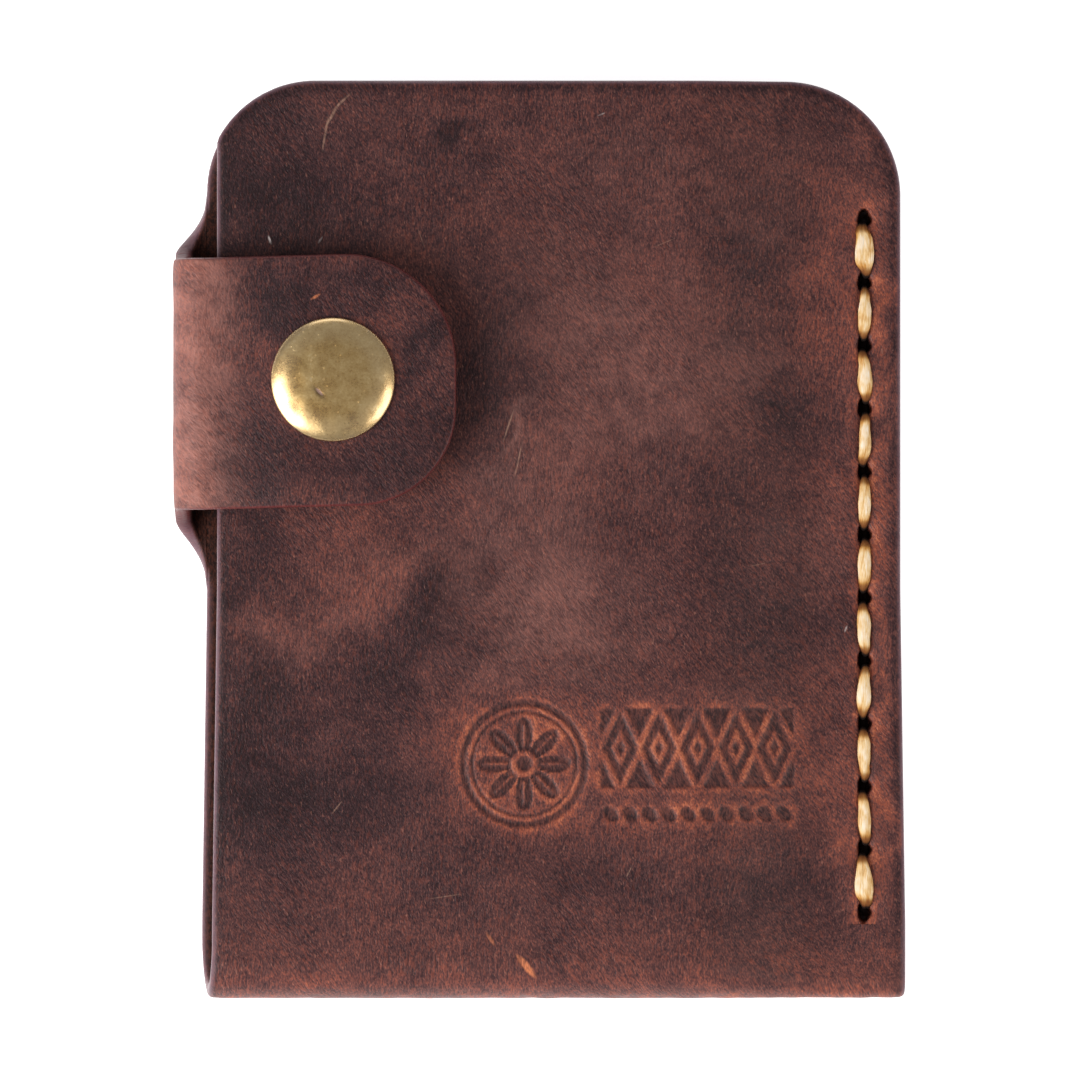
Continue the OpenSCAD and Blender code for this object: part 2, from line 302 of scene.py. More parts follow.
def rim_height(d, rim):
    """Half the thickness at a distance d from the edge: (1 - (1 - d/rim)^n)^(1/n) of it."""
    inward = np.clip(d / rim, 0, 1)
    return LEATHER / 2 * (1 - (1 - inward) ** EDGE_ROUNDNESS) ** (1 / EDGE_ROUNDNESS)


def worn_edge(d):
    """How much lower the grain lies at a distance d from the edge: a bell, 0.1 mm high."""
    return 0.10 * bell(d, 1.1)


edge_at = np.array([0, EDGE / 4, EDGE / 2, EDGE])
print("half thickness", edge_at, "mm inside the edge:", rim_height(edge_at, EDGE).round(2))

# %% [markdown]
# ## From numbers to a mesh
# Each shape here ends as one array of points and a few arrays of faces. Written to the
# mesh in bulk, a hundred thousand points take an instant. Points that fall together are
# then merged, faces are turned outwards, and the count of open edges is printed: a
# closed solid has none.

# %% Mesh helpers
import bmesh


def strip(a, b):
    """Quads between two rows of vertex numbers that have the same length."""
    return np.stack([a[:-1], a[1:], b[1:], b[:-1]], 1)


def zipped(fine, coarse, fine_at, coarse_at):
    """Triangles between two rows of different lengths, each fine edge to its nearest
    coarse vertex, and each coarse edge to the fine vertex where that nearest changes."""
    middle = (fine_at[:-1] + fine_at[1:]) / 2
    near = np.searchsorted((coarse_at[:-1] + coarse_at[1:]) / 2, middle)
    edges = np.stack([fine[:-1], fine[1:], coarse[near]], 1)
    turn = np.searchsorted(near, np.arange(1, len(coarse)))
    return edges, np.stack([coarse[:-1], fine[turn], coarse[1:]], 1)


def ring_quads(rings, joined=False):
    """Quads between each ring of vertex numbers and the next, and from the last ring back
    to the first if they are joined."""
    closed = np.concatenate([rings, rings[:, :1]], 1)
    pairs = list(zip(closed, np.roll(closed, -1, 0)))
    return np.concatenate([strip(p, q) for p, q in (pairs if joined else pairs[:-1])])


def solid_mesh(name, points, faces, floats=None, hide=None, sharp_deg=None):
    """A closed mesh in metres from points in millimetres: doubles are merged, all faces
    are turned outwards, and float or vector attributes are kept with the points."""
    mesh = bpy.data.meshes.new(name)
    corners = np.concatenate([f.ravel() for f in faces])
    sizes = np.concatenate([np.full(len(f), f.shape[1]) for f in faces])
    mesh.vertices.add(len(points))
    mesh.vertices.foreach_set("co", (points * MM).astype(np.float32).ravel())
    mesh.loops.add(len(corners))
    mesh.loops.foreach_set("vertex_index", corners.astype(np.int32))
    mesh.polygons.add(len(sizes))
    starts = np.concatenate([[0], np.cumsum(sizes)[:-1]])
    mesh.polygons.foreach_set("loop_start", starts.astype(np.int32))
    mesh.update(calc_edges=True)
    for key, values in (floats or {}).items():
        layer = mesh.attributes.new(key, "FLOAT", "POINT")
        layer.data.foreach_set("value", values.astype(np.float32))
    if hide is not None:
        layer = mesh.attributes.new("hide", "FLOAT_VECTOR", "POINT")
        layer.data.foreach_set("vector", hide.astype(np.float32).ravel())
    shell = bmesh.new()
    shell.from_mesh(mesh)
    bmesh.ops.remove_doubles(shell, verts=shell.verts, dist=1e-4 * MM)
    bmesh.ops.recalc_face_normals(shell, faces=shell.faces)
    open_edges = sum(1 for e in shell.edges if not e.is_manifold)
    shell.to_mesh(mesh)
    shell.free()
    mesh.shade_smooth()
    if sharp_deg:
        mesh.set_sharp_from_angle(angle=math.radians(sharp_deg))
    piece = bpy.data.objects.new(name, mesh)
    bpy.context.scene.collection.objects.link(piece)
    triangles = sum(len(p.vertices) - 2 for p in mesh.polygons)
    print(f"{name}: {triangles} triangles, {open_edges} open edges")
    return piece


print("a grid of 4 by 3 points, closed into rings, has",
      len(ring_quads(np.arange(12).reshape(3, 4))), "quads")

# %% [markdown]
# ## One builder for all the leather
# Leather is a sheet: a grain face, a flesh face and an edge. The builder works in the
# flat sheet's own coordinates, p across and q along, and a `place` function then bends
# the sheet into the wallet, as a leather worker cuts first and folds after.
#
# The flesh face is hidden for the most part, so its grid has fewer columns. A row of
# triangles joins the two grids, as a zip joins two tapes, and the shell stays closed.

# %% The leather builder
MASKS = ("wear", "oil", "mark", "bloom", "burn")


def sheet(columns, q, first, last):
    """A grid of p and q: each row of q runs from first to last, shared out by columns."""
    p = first[:, None] + columns[None] * (last - first)[:, None]
    return p, np.broadcast_to(q[:, None], p.shape)


def leather_solid(name, across, along, inner, limits, place, margin, relief, looks,
                  rim=EDGE):
    """A sheet of leather. across and inner are the columns of the grain and flesh faces,
    as shares from 0 to 1 of the width that limits(q) gives at each q of along. margin is
    the distance from the cut edge, relief the height of the grain, looks its masks."""
    rows, wide, few = len(along), len(across), len(inner)
    low, high = limits(along)
    p, q = sheet(across, along, low, high)
    d = margin(p, q)
    h = rim_height(d, rim)
    grain_h = h + relief(p, q, d) * ease(d, 0.0, 0.5)
    inner_p, inner_q = sheet(inner, along[1:-1], low[1:-1], high[1:-1])
    inner_d = margin(inner_p, inner_q)
    nap = 0.05 * ripple(inner_p, inner_q, 1.1, 5)
    inner_h = -rim_height(inner_d, rim) + nap * ease(inner_d, 0.3, 1)
    ends = [0, -1]
    end_p, end_q = p[ends], q[ends]
    end_h = -h[ends]

    all_p = np.concatenate([p.ravel(), inner_p.ravel(), end_p.ravel()])
    all_q = np.concatenate([q.ravel(), inner_q.ravel(), end_q.ravel()])
    all_h = np.concatenate([grain_h.ravel(), inner_h.ravel(), end_h.ravel()])
    all_d = np.concatenate([d.ravel(), inner_d.ravel(), d[ends].ravel()])
    points, hide = place(all_p, all_q, all_h)

    grain = np.arange(rows * wide).reshape(rows, wide)
    flesh = rows * wide + np.arange((rows - 2) * few).reshape(rows - 2, few)
    cuts = rows * wide + (rows - 2) * few + np.arange(2 * wide).reshape(2, wide)
    faces = [np.concatenate([strip(grain[i], grain[i + 1]) for i in range(rows - 1)])]
    faces += [strip(flesh[i], flesh[i + 1]) for i in range(rows - 3)]
    for side in (0, -1):
        column = np.concatenate([[cuts[0, side]], flesh[:, side], [cuts[1, side]]])
        faces.append(strip(grain[:, side], column))
    for end in ends:
        faces += zipped(cuts[end], flesh[end], across, inner)
        faces.append(strip(grain[end], cuts[end]))

    is_flesh = np.concatenate([np.zeros(rows * wide), np.ones(len(all_p) - rows * wide)])
    masks = dict.fromkeys(MASKS, np.zeros(len(all_p)))
    masks["dyed"] = np.ones(len(all_p))
    masks.update(looks(all_p, all_q))
    masks["edge"] = 1 - ease(all_d, 0.2 * rim, 0.6 * rim)
    masks["oil"] = masks["oil"] + 0.55 * masks["dyed"] * bell(all_d, 0.4, 0.85)
    masks["flesh"] = is_flesh * ease(all_d, 0.1, 0.5)
    return solid_mesh(name, points, faces, masks, hide, sharp_deg=62)


print("masks kept with the hide:", *MASKS, "dyed edge flesh")

# %% [markdown]
# ## Heights of the two panels
# The pocket is open on the left and closed on the right, where both panels lie on each
# other and are sewn. The front panel comes down to the seam on an S-curve, and the back
# panel rises a little there, so that the stitches on the back clear the table.

# %% Panel heights
seam_flat_x = stitch_x - 2.9
slope_x = seam_flat_x - SEAM_SLOPE
back_rise_x = seam_flat_x - 4


def front_face_z(x):
    """Height of the front panel's grain face: it eases from the pocket to the seam."""
    return front_z - (front_z - seam_top_z) * ease(x, slope_x, seam_flat_x)


def back_face_z(x):
    """Height of the back panel's outer face: flat on the table, and lifted at the seam."""
    return seam_low_z * ease(x, back_rise_x, seam_flat_x)


def flare(y):
    """How far the sides stand out at a height: nothing above the strap's root, and FLARE
    at the bottom fold."""
    start = root_low[1]
    return FLARE * np.clip((start - y) / (start - fold_y), 0, 1)


print("front over the pocket and at the seam:", front_face_z(0).round(2),
      front_face_z(stitch_x).round(2), "back at the seam:", back_face_z(stitch_x).round(2))

# %% [markdown]
# ## Punched holes, stitches and what they do to the leather
# The awl leaves round holes. Each tight stitch then lies in a shallow groove, and the
# leather swells a little between the holes. All of this is real relief, because light
# falls into it from the side.

# %% Relief of the sewn edge
HOLE_DEPTH = 1.5


def nearest_hole_y(y):
    """The height of the stitch hole that is nearest to y."""
    index = np.clip(np.round((y - first_hole) / hole_pitch), 0, HOLES - 1)
    return first_hole + index * hole_pitch


def hole_distance(x, y):
    """Distance from the nearest hole, which is a little uneven, as an awl leaves it."""
    dy = y - nearest_hole_y(y)
    dx = x - stitch_x
    angle = np.arctan2(dy, dx)
    uneven = 0.06 * np.cos(3 * angle + y) + 0.04 * np.cos(2 * angle - 1.3 * x)
    return np.hypot(dx * 1.12, dy * 0.86) - uneven


def sewn_relief(x, y):
    """Holes of HOLE_DEPTH, a groove under the stitches, and swellings beside them."""
    r = hole_distance(x, y)
    dx = np.abs(x - stitch_x)
    last_hole = first_hole + (HOLES - 1) * hole_pitch
    sewn = ease(y, first_hole - 0.6, first_hole + 0.2)
    sewn = sewn * (1 - ease(y, last_hole - 0.2, last_hole + 0.6))
    share = np.cos(2 * math.pi * (y - first_hole) / hole_pitch)
    hole = -HOLE_DEPTH * (1 - ease(r, HOLE_R - 0.14, HOLE_R + 0.06))
    funnel = -0.16 * bell(r, 1.35)
    groove = -sewn * (0.26 + 0.05 * share) * bell(dx, 0.62)
    swell = -sewn * 0.07 * share * bell(dx, 0.75, 1.45)
    return hole + funnel + groove + swell


on_seam = np.full(3, stitch_x)
along_seam = first_hole + hole_pitch * np.array([0, 0.25, 0.5])
print("relief in a hole, beside it and between two:", sewn_relief(on_seam, along_seam).round(2))

# %% [markdown]
# ## The tooled mark
# A leather worker presses a brass stamp into the damp leather, low on the right. This
# one is plain geometry of its own: a round rosette, a row of lozenges beside it and a
# rope line below. The pressed parts go dark, and the wax moves out of the leather round
# them, which turns lighter. The mark is one function from 0 to 1, and both the relief
# and the colour follow it.

# %% Rosette
MARK_X, MARK_Y = -1.6, -22.6
ROSETTE_R = 6.5
LOZENGES = 5
LOZENGE_W, LOZENGE_H = 3.9, 8.0
BAND_X, BAND_Y = 7.8, 1.6
ROPE_Y, ROPE_H = -5.1, 1.5


def inside(distance, blur=0.16):
    """1 where the signed distance is below zero and 0 above, with a soft edge."""
    return 1 - ease(distance, -blur, blur)


def rosette(x, y):
    """Two rings, eight pointed petals where r < R * |cos 4a| ^ n, and a hollow middle."""
    r = np.hypot(x, y)
    a = np.arctan2(y, x)
    ring = inside(np.abs(r - ROSETTE_R + 0.35) - 0.3)
    thin = inside(np.abs(r - ROSETTE_R + 1.25) - 0.12)
    petal = inside(r - 4.7 * np.abs(np.cos(4 * a)) ** 0.55) * (1 - inside(r - 1.35))
    vein = inside(np.abs(np.sin(4 * a)) * r / 4 - 0.1) * inside(1.7 - r) * inside(r - 4.1)
    core = inside(r - 0.75)
    return np.clip(ring + thin + petal * (1 - vein) + core, 0, 1)


print("rosette in its middle and between two rings:", rosette(np.array([0, 5.7]), 0).round(2))

# %% [markdown]
# ## Band and rope
# A border tool is pressed again and again along a ruler. The remainder of x by the
# tool's width does the same: one cell is drawn, and it repeats. The glow round the
# pressed parts is found by looking at the mark from eight places close by.

# %% Band, rope and the whole mark


def lozenge_band(x, y):
    """A row of lozenges |x| / w + |y| / h < 1, each with a smaller one left standing, and
    half ones that fill the corners between them."""
    cell = (x / LOZENGE_W) % 1.0 - 0.5
    tall = np.abs(y) / (LOZENGE_H / 2)
    edge = np.abs(cell) * 2 + tall - 1
    scale = LOZENGE_W / 2.4
    solid = inside((edge + 0.10) * scale)
    standing = inside((edge + 0.52) * scale)
    dot = inside((edge + 0.80) * scale)
    corner = inside((0.28 - edge) * scale) * inside(tall * 4 - 4)
    within = inside(-x) * inside(x - LOZENGES * LOZENGE_W)
    return np.clip(solid - standing + dot + corner, 0, 1) * within


def rope(x, y):
    """Slanted beads between x = 0 and the band's end: an ellipse in each slanted cell."""
    pitch = LOZENGE_W / 2
    cell = ((x + 0.35 * y) / pitch) % 1.0 - 0.5
    bead = (cell / 0.36) ** 2 + (y / (ROPE_H / 2)) ** 2 - 1
    within = inside(-x) * inside(x - LOZENGES * LOZENGE_W)
    return inside(bead * 0.4) * within


def tooled_mark(x, y):
    """The whole mark, from 0 on plain leather to 1 in the pressed parts."""
    u, v = x - MARK_X, y - MARK_Y
    marks = rosette(u, v) + lozenge_band(u - BAND_X, v - BAND_Y)
    return np.clip(marks + rope(u - BAND_X, v - ROPE_Y), 0, 1)


def mark_halo(x, y):
    """A soft plateau over the whole mark, where the leather was damp and pressed."""
    u, v = x - MARK_X, y - MARK_Y
    wide = ease(u, -8.8, -6.0) * (1 - ease(u, 25.5, 29.5))
    tall = ease(v, -9.0, -5.6) * (1 - ease(v, 5.4, 8.8))
    return wide * tall


def tooled_glow(x, y):
    """The bright rim round the pressed parts: the mark at eight places close by."""
    reach = 0.75
    total = np.zeros(np.shape(x))
    for k in range(8):
        a = k * math.pi / 4
        total += tooled_mark(x + reach * math.cos(a), y + reach * math.sin(a))
    return np.clip(total / 4, 0, 1) * (1 - tooled_mark(x, y))


print("the mark is", ROSETTE_R + BAND_X + LOZENGES * LOZENGE_W, "mm long")

# %% [markdown]
# ## Outline of a panel
# The blank has two round top corners and sides that flare a little at the fold. An
# outline needs two forms here: its left and right end at each height, to lay a grid
# between them, and the distance from it at any point, to round the edge. Both come from
# the same few radii. The front's left edge stands back from the blank's own.

# %% Panel outline
LEFT_CORNER_R, RIGHT_CORNER_R = 11.1, 11.6


def corner_inset(y, top, radius):
    """How far a rounded top corner stands back from the side at height y."""
    rise = np.clip(y - (top - radius), 0, radius)
    return radius - np.sqrt(radius**2 - rise**2)


def panel_limits(left, top):
    """The left and right edge of a panel at each height. A left edge that stands back
    from the blank's own cuts through its round corner."""

    def limits(y):
        """Both ends of the panel at height y."""
        low = np.maximum(left, left_x + corner_inset(y, top, LEFT_CORNER_R)) - flare(y)
        high = right_x + flare(y) - corner_inset(y, top, RIGHT_CORNER_R)
        return low, high

    return limits


def corner_distance(x, y, side_d, corner_x, top, radius, sign):
    """Distance from the side, the top, or the round corner between them."""
    cx, cy = corner_x - sign * radius, top - radius
    beyond = (sign * (x - cx) > 0) & (y > cy)
    upper = np.where(beyond, radius - np.hypot(x - cx, y - cy), top - y)
    return np.minimum(side_d, upper)


def panel_margin(x, y, left, top, left_d=None):
    """Distance from the cut edge of a panel. The bottom is no edge: the sheet goes on."""
    right_d = right_x + flare(y) - x
    left_d = x - (left - flare(y)) if left_d is None else left_d
    on_left = corner_distance(x, y, left_d, left_x, top, LEFT_CORNER_R, -1)
    on_right = corner_distance(x, y, right_d, right_x, top, RIGHT_CORNER_R, 1)
    return np.maximum(np.minimum(on_left, on_right), 0)


front_limits = panel_limits(front_left_x, front_top_y)
low_ends, high_ends = front_limits(np.array([fold_y, 0, front_top_y - 1]))
widths = high_ends - low_ends
print("front panel's width at the fold, half way and at the top:", widths.round(1))

# %% [markdown]
# ## Relief of the front panel
# The face that is seen first. Its relief adds the mark, the sewn edge, fine creases
# where the leather starts to turn at the bottom, and a slow unevenness all over. It is
# cut into the mesh and not only painted on, so that it catches the light from the side.

# %% Front relief


def creases(x, y):
    """Fine wavy creases along the fold, strongest near the bottom."""
    depth = np.exp(-np.clip(y - bottom_y, 0, None) / 5.5)
    slant = y + 0.35 * ripple(x, y, 7, 21) + 0.12 * x * depth
    return 0.035 * depth * np.sin(slant * 6.5) * (0.6 + 0.6 * ripple(x, y, 3.2, 22))


def front_relief(x, y, d):
    """Everything that stands out of the front's grain face, in millimetres."""
    calm = ease(y, fold_y, fold_y + 2.5)
    slow = 0.07 * ripple(x, y, 19, 3) + 0.025 * ripple(x, y, 5, 4)
    mark = -0.17 * tooled_mark(x, y) - 0.10 * mark_halo(x, y)
    return (slow + creases(x, y)) * calm + mark + sewn_relief(x, y) - worn_edge(d)


def front_place(x, y, h):
    """The front lies flat, and its height follows the S-curve to the seam."""
    z = front_face_z(x) - LEATHER / 2 + h
    return np.stack([x, y, z], -1), np.stack([x, y, h], -1)


in_mark = np.array([MARK_X])
print("relief in the middle of the mark:", front_relief(in_mark, np.array([MARK_Y]), 30.0).round(2))

# %% [markdown]
# ## Oil, painted shadow, wear and bloom on the front
# The hide's colour tells how it was used. Oil gathers in dark patches, stretched or rubbed places
# turn reddish, and where the wax dries it leaves a dull pale bloom. Two of the dark ovals are
# painted shadow: one right of the strap's tip and one by the front's left edge. A noise could
# scatter such patches, but then no two of them would lie where hands and cards really touch. So
# each list below is given oval by oval: x, y, two half sizes, turn, strength.

# %% Patches of the front
# Dark ovals: oil, except (-5, 17) right of the strap's tip and (-30, -4) by the left edge, which
# are painted shadow.
FRONT_OIL_AND_SHADOW = [
    (-28, 37, 7, 9, 0, 0.95), (-22, 33, 9, 4, 0, 0.5), (-12, 38, 5, 4, 0, 0.3),
    (-7.2, 40.3, 0.8, 2.0, -15, 1.4), (-5, 17, 3.5, 11, 0, 0.75), (26.5, 12, 4, 3.5, 0, 0.65),
    (24.5, 29, 5, 3, 0, 0.35), (13, -1, 6, 8, 0, 0.34), (25, -7, 7, 5, 0, 0.6),
    (-10, -5, 7, 2.2, 55, 0.6), (-14, -13, 8, 5, 30, 0.65), (-29.5, -20, 4.5, 11, 0, 1.05),
    (-30, -4, 2.5, 5, 0, 0.6), (-20, -26, 8, 6, 0, 0.65), (6, -34.5, 4.5, 2.6, 0, 0.65),
    (24, -34.5, 8, 2.5, 0, 0.5), (-30, 4, 3, 5, 0, 0.4), (33, 41, 6, 5, -40, 0.35),
    (16, 8, 3, 5, 0, 0.15), (-8, -32, 6, 4, 0, 0.3), (6, 37, 5, 5, 0, 0.12),
    (-24, -28, 8, 7, 0, 0.45),
]
FRONT_WEAR = [
    (-16, -4.5, 9, 1.8, 38, 0.34), (-26, -9, 5, 2.0, 20, 0.3), (5, 11, 11, 8, 20, 0.12),
    (-19, 1, 4, 2.0, 40, 0.25), (29, 26, 2.6, 8, 0, 0.42), (29.5, 6, 1.6, 9, 0, 0.25),
    (-21, -31, 7, 3, 0, 0.2), (34.8, 24, 1.2, 5, 0, 0.35), (30, -27, 1.6, 9, 0, 0.3),
    (34.6, -30, 1.2, 8, 0, 0.3), (-3.5, -13.5, 7, 1.6, 0, 0.2), (-10.5, -20, 1.6, 6, 0, 0.35),
    (14, -32, 9, 1.6, 0, 0.2), (27.5, -21, 1.6, 6, 0, 0.4), (34.7, -4, 1.2, 40, 0, 0.45),
]
FRONT_BLOOM = [
    (-2, -6, 6, 9, 0, 0.5), (5, -8, 6, 5, 0, 0.4), (8, 13, 9, 7, 20, 0.42),
    (-2, 8, 3, 5, -30, 0.25), (6, 24, 8, 6, 0, 0.4), (18, 17, 6, 5, 0, 0.28),
    (-25, -10, 5, 3, 20, 0.25), (-15, -4, 9, 2.2, 38, 0.25), (12, 38, 8, 4, 0, 0.16),
    (-3, 10.5, 0.5, 3.8, -16, 0.7), (3, 2, 3, 3, 0, 0.2), (-22, 30, 3, 2, 0, 0.12),
    (20, 34, 6, 4, 0, 0.14), (28, -1, 3, 9, 0, 0.12),
]
print("patches of oil, wear and bloom:", len(FRONT_OIL_AND_SHADOW), len(FRONT_WEAR), len(FRONT_BLOOM))

# %% [markdown]
# ## What wears a hide, and the painted shade in the holes
# Two things wear every panel in the same way: the table rubs its foot, and the stitches stretch it.
# Each stitch hole also gets a painted shade: the leather in and just round it is painted near
# black. They are functions of the place, so that the front, the fold and the back agree where they
# meet.

# %% Wear


def foot_wear(y, lively):
    """The last centimetre above the fold turns redder, and the turn itself most of all."""
    low = (1 - ease(y, bottom_y, bottom_y + 9)) * (0.16 + 0.2 * lively)
    return low + (1 - ease(y, bottom_y, bottom_y + 2.2)) * 0.32


def painted_hole_shade(x, y):
    """1 in a stitch hole, which is painted near black as a painted shade, and 0 a little way
    outside.
    """
    return 1 - ease(hole_distance(x, y), HOLE_R - 0.2, HOLE_R + 0.14)


def seam_wear(x, y, lively):
    """Stretched leather along the stitches, most of all in a ring round each hole."""
    band = bell(x, 2.2, stitch_x) * (0.16 + 0.26 * lively)
    ring = bell(hole_distance(x, y), 0.55, 1.15) * (0.22 + 0.4 * lively)
    return band + ring


def front_looks(x, y):
    """Wear where the leather is stretched or handled, and oil where it is dark, with two painted
    shadows, right of the strap's tip and by the left edge.
    """
    lively = 0.5 + 0.5 * ripple(x, y, 4.5, 31)
    seam = seam_wear(x, y, lively)
    halo = mark_halo(x, y) * (0.20 + 0.26 * lively)
    near_mark = tooled_glow(x, y) * (0.36 + 0.34 * lively)
    wear = seam + foot_wear(y, lively) + halo + near_mark + patches(x, y, FRONT_WEAR)
    return {
        "wear": np.clip(wear, 0, 1),
        "oil": np.clip(patches(x, y, FRONT_OIL_AND_SHADOW), 0, 1.1),
        "mark": tooled_mark(x, y),
        "bloom": np.clip(patches(x, y, FRONT_BLOOM), 0, 1) * (1 - mark_halo(x, y)) * 0.55,
        "burn": painted_hole_shade(x, y),
    }


beside_hole = front_looks(np.array([stitch_x + 1.2]), np.array([first_hole]))["wear"]
print("wear 1.2 mm beside a stitch hole:", beside_hole.round(2))

# %% [markdown]
# ## Front panel
# Now the panel is laid out. Its grid is fine over the stitch holes and over the mark, and
# plain elsewhere, which keeps one piece below the limit of 200,000 triangles.

# %% Front panel
FINE_HOLE, FINE_MARK, PLAIN = 0.15, 0.18, 0.55


def hole_zones():
    """Fine rows for each stitch hole."""
    heights = first_hole + hole_pitch * np.arange(HOLES)
    return [(y - 1.05, y + 1.05, FINE_HOLE) for y in heights]


def shares(positions):
    """Positions as shares of their own range."""
    return (positions - positions[0]) / (positions[-1] - positions[0])


fine_columns = [(stitch_x - 1.5, stitch_x + 1.5, FINE_HOLE)]
mark_columns = [(MARK_X - ROSETTE_R - 0.4, MARK_X + 28, FINE_MARK)]
mark_rows = [(MARK_Y - ROSETTE_R - 0.4, MARK_Y + ROSETTE_R + 0.4, FINE_MARK)]
front_across = shares(rimmed(front_left_x, right_x, PLAIN, fine_columns + mark_columns))
front_along = rimmed(fold_y, front_top_y, PLAIN, hole_zones() + mark_rows, (False, True))
inner_across = shares(rimmed(front_left_x, right_x, 3.0, rim_rows=3))

front = leather_solid(
    "leather_front_panel", front_across, front_along, inner_across,
    front_limits, front_place,
    lambda x, y: panel_margin(x, y, front_left_x, front_top_y),
    front_relief, front_looks,
)
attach(front, "wallet")
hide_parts("front_panel")

# %% [markdown]
# ## Back panel
# The same sheet seen from the other side: its grain face lies on the table. The strap
# grows out of its left edge, so along the strap's root there is no cut edge. There the
# distance from the edge is measured to the two hollow fillets beside the root.

# %% Shape of the back panel
UPPER_FILLET_R, LOWER_FILLET_R = 6.9, 8.2
upper_root_y = strap_y + strap_w / 2 + UPPER_FILLET_R
lower_root_y = strap_y - strap_w / 2 - LOWER_FILLET_R
fold_arc = math.pi * (front_z - LEATHER) / 2 + 2 * (fold_y - bottom_y) - front_z


def root_distance(x, y):
    """Distance from the blank's left outline: the panel's side above and below the root,
    and the nearer of the two round fillets between them. x may lie out on the strap."""
    upper = np.hypot(x - (left_x - UPPER_FILLET_R), y - upper_root_y) - UPPER_FILLET_R
    lower = np.hypot(x - (left_x - LOWER_FILLET_R), y - lower_root_y) - LOWER_FILLET_R
    side = x - (left_x - flare(y))
    beside_root = (y > upper_root_y) | (y < lower_root_y)
    return np.where(beside_root, side, np.minimum(upper, lower))


def back_margin(x, y):
    """Distance from the back panel's cut edge."""
    return panel_margin(x, y, left_x, back_top_y, root_distance(x, y))


def back_relief(x, y, d):
    """The back's grain face: the sewn edge, creases and a slow unevenness, pressed flat
    where it lies on the table."""
    calm = ease(y, fold_y, fold_y + 2.5)
    slow = 0.05 * ripple(x, y, 21, 7) - 0.05
    stretch = ease(x, left_x + 0.2, left_x + 3)
    uneven = np.minimum(slow + creases(x, y), 0)
    return uneven * calm * stretch + sewn_relief(x, y) - worn_edge(d) * stretch


def back_place(x, y, h):
    """The back faces down, so its grain face has the lowest height."""
    z = back_face_z(x) + LEATHER / 2 - h
    hide_y = 2 * fold_y - fold_arc - y
    return np.stack([x, y, z], -1), np.stack([x, hide_y, h], -1)


print("the root spans", lower_root_y.round(1), "to", upper_root_y.round(1), "mm,",
      "the fold takes", fold_arc.round(2), "mm of hide")

# %% [markdown]
# ## Back panel
# Nobody sees the back in daily use, but it rubs on every table. Its patches are fewer
# and larger, and its grid is plain except at the stitches and the strap's root.

# %% Back panel
BACK_OIL = [
    (-20, 30, 12, 9, 20, 0.6), (14, 22, 9, 14, -20, 0.5), (-12, -18, 14, 7, 15, 0.6),
    (22, -20, 8, 12, 0, 0.5), (30, 38, 7, 6, 0, 0.5), (-28, -34, 6, 8, 0, 0.6),
]
BACK_WEAR = [
    (-4, 6, 12, 5, 35, 0.4), (8, -30, 10, 4, 0, 0.3), (-30, 14, 4, 12, 0, 0.35),
    (6, 36, 14, 4, 5, 0.2), (20, 2, 6, 8, 0, 0.25),
]


def back_looks(x, y):
    """Wear along the seam, the bottom and the handled middle."""
    lively = 0.5 + 0.5 * ripple(x, y, 4.5, 41)
    wear = seam_wear(x, y, lively) + foot_wear(y, lively) + patches(x, y, BACK_WEAR)
    oil = patches(x, y, BACK_OIL)
    return {"wear": np.clip(wear, 0, 1), "oil": np.clip(oil, 0, 1.1),
            "burn": painted_hole_shade(x, y)}


back_across = shares(rimmed(left_x, right_x, 0.8, fine_columns))
root_rows = [(lower_root_y, upper_root_y, 0.5)]
back_along = rimmed(fold_y, back_top_y, 0.8, hole_zones() + root_rows, (False, True))
back = leather_solid(
    "leather_back_panel", back_across, back_along, inner_across,
    panel_limits(left_x, back_top_y), back_place, back_margin, back_relief, back_looks,
)
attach(back, "wallet")
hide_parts("back_panel")

# %% [markdown]
# ## Bottom fold
# The sheet turns round at the bottom: straight, round half a circle, and straight back.
# Over the pocket the half circle is 8 mm tall, and at the seam it closes to two layers.
# Along the sheet, the share t goes from the front panel's cut to the back panel's.

# %% Bottom fold


def fold_place(x, t, h):
    """A leg, half a circle about a point half the height from the bottom, and a leg, with
    t shared out by the length of the sheet's middle."""
    low, high = back_face_z(x), front_face_z(x)
    outer_r = (high - low) / 2
    middle_r = outer_r - LEATHER / 2
    leg = fold_y - bottom_y - outer_r
    length = t * (2 * leg + math.pi * middle_r)
    turn = np.clip((length - leg) / middle_r, 0, math.pi)
    on_legs = length - leg - turn * middle_r
    y = bottom_y + outer_r - (middle_r + h) * np.sin(turn) + np.abs(on_legs)
    z = low + outer_r + (middle_r + h) * np.cos(turn)
    points = np.stack([x, y, z], -1)
    return points, np.stack([x, fold_y - t * fold_arc, h], -1)


def fold_limits(t):
    """The blank's sides: the front's left edge stands back, and eases out to the back's."""
    low = front_left_x + (left_x - front_left_x) * ease(t, 0.1, 0.9) - FLARE
    return low, np.full(len(t), right_x + FLARE)


def fold_margin(x, t):
    """Distance from the two sides."""
    low, high = fold_limits(np.ravel(t))
    return np.maximum(np.minimum(x - low.reshape(x.shape), high.reshape(x.shape) - x), 0)


def fold_relief(x, t, d):
    """Fine creases across the turn, which fade at both cuts to meet the panels."""
    calm = ease(t, 0, 0.2) * (1 - ease(t, 0.8, 1))
    length = t * fold_arc
    fine = 0.02 * ripple(x * 0.6, length, 1.6, 51) + 0.015 * ripple(x, length, 6, 52)
    return fine * calm - worn_edge(d)


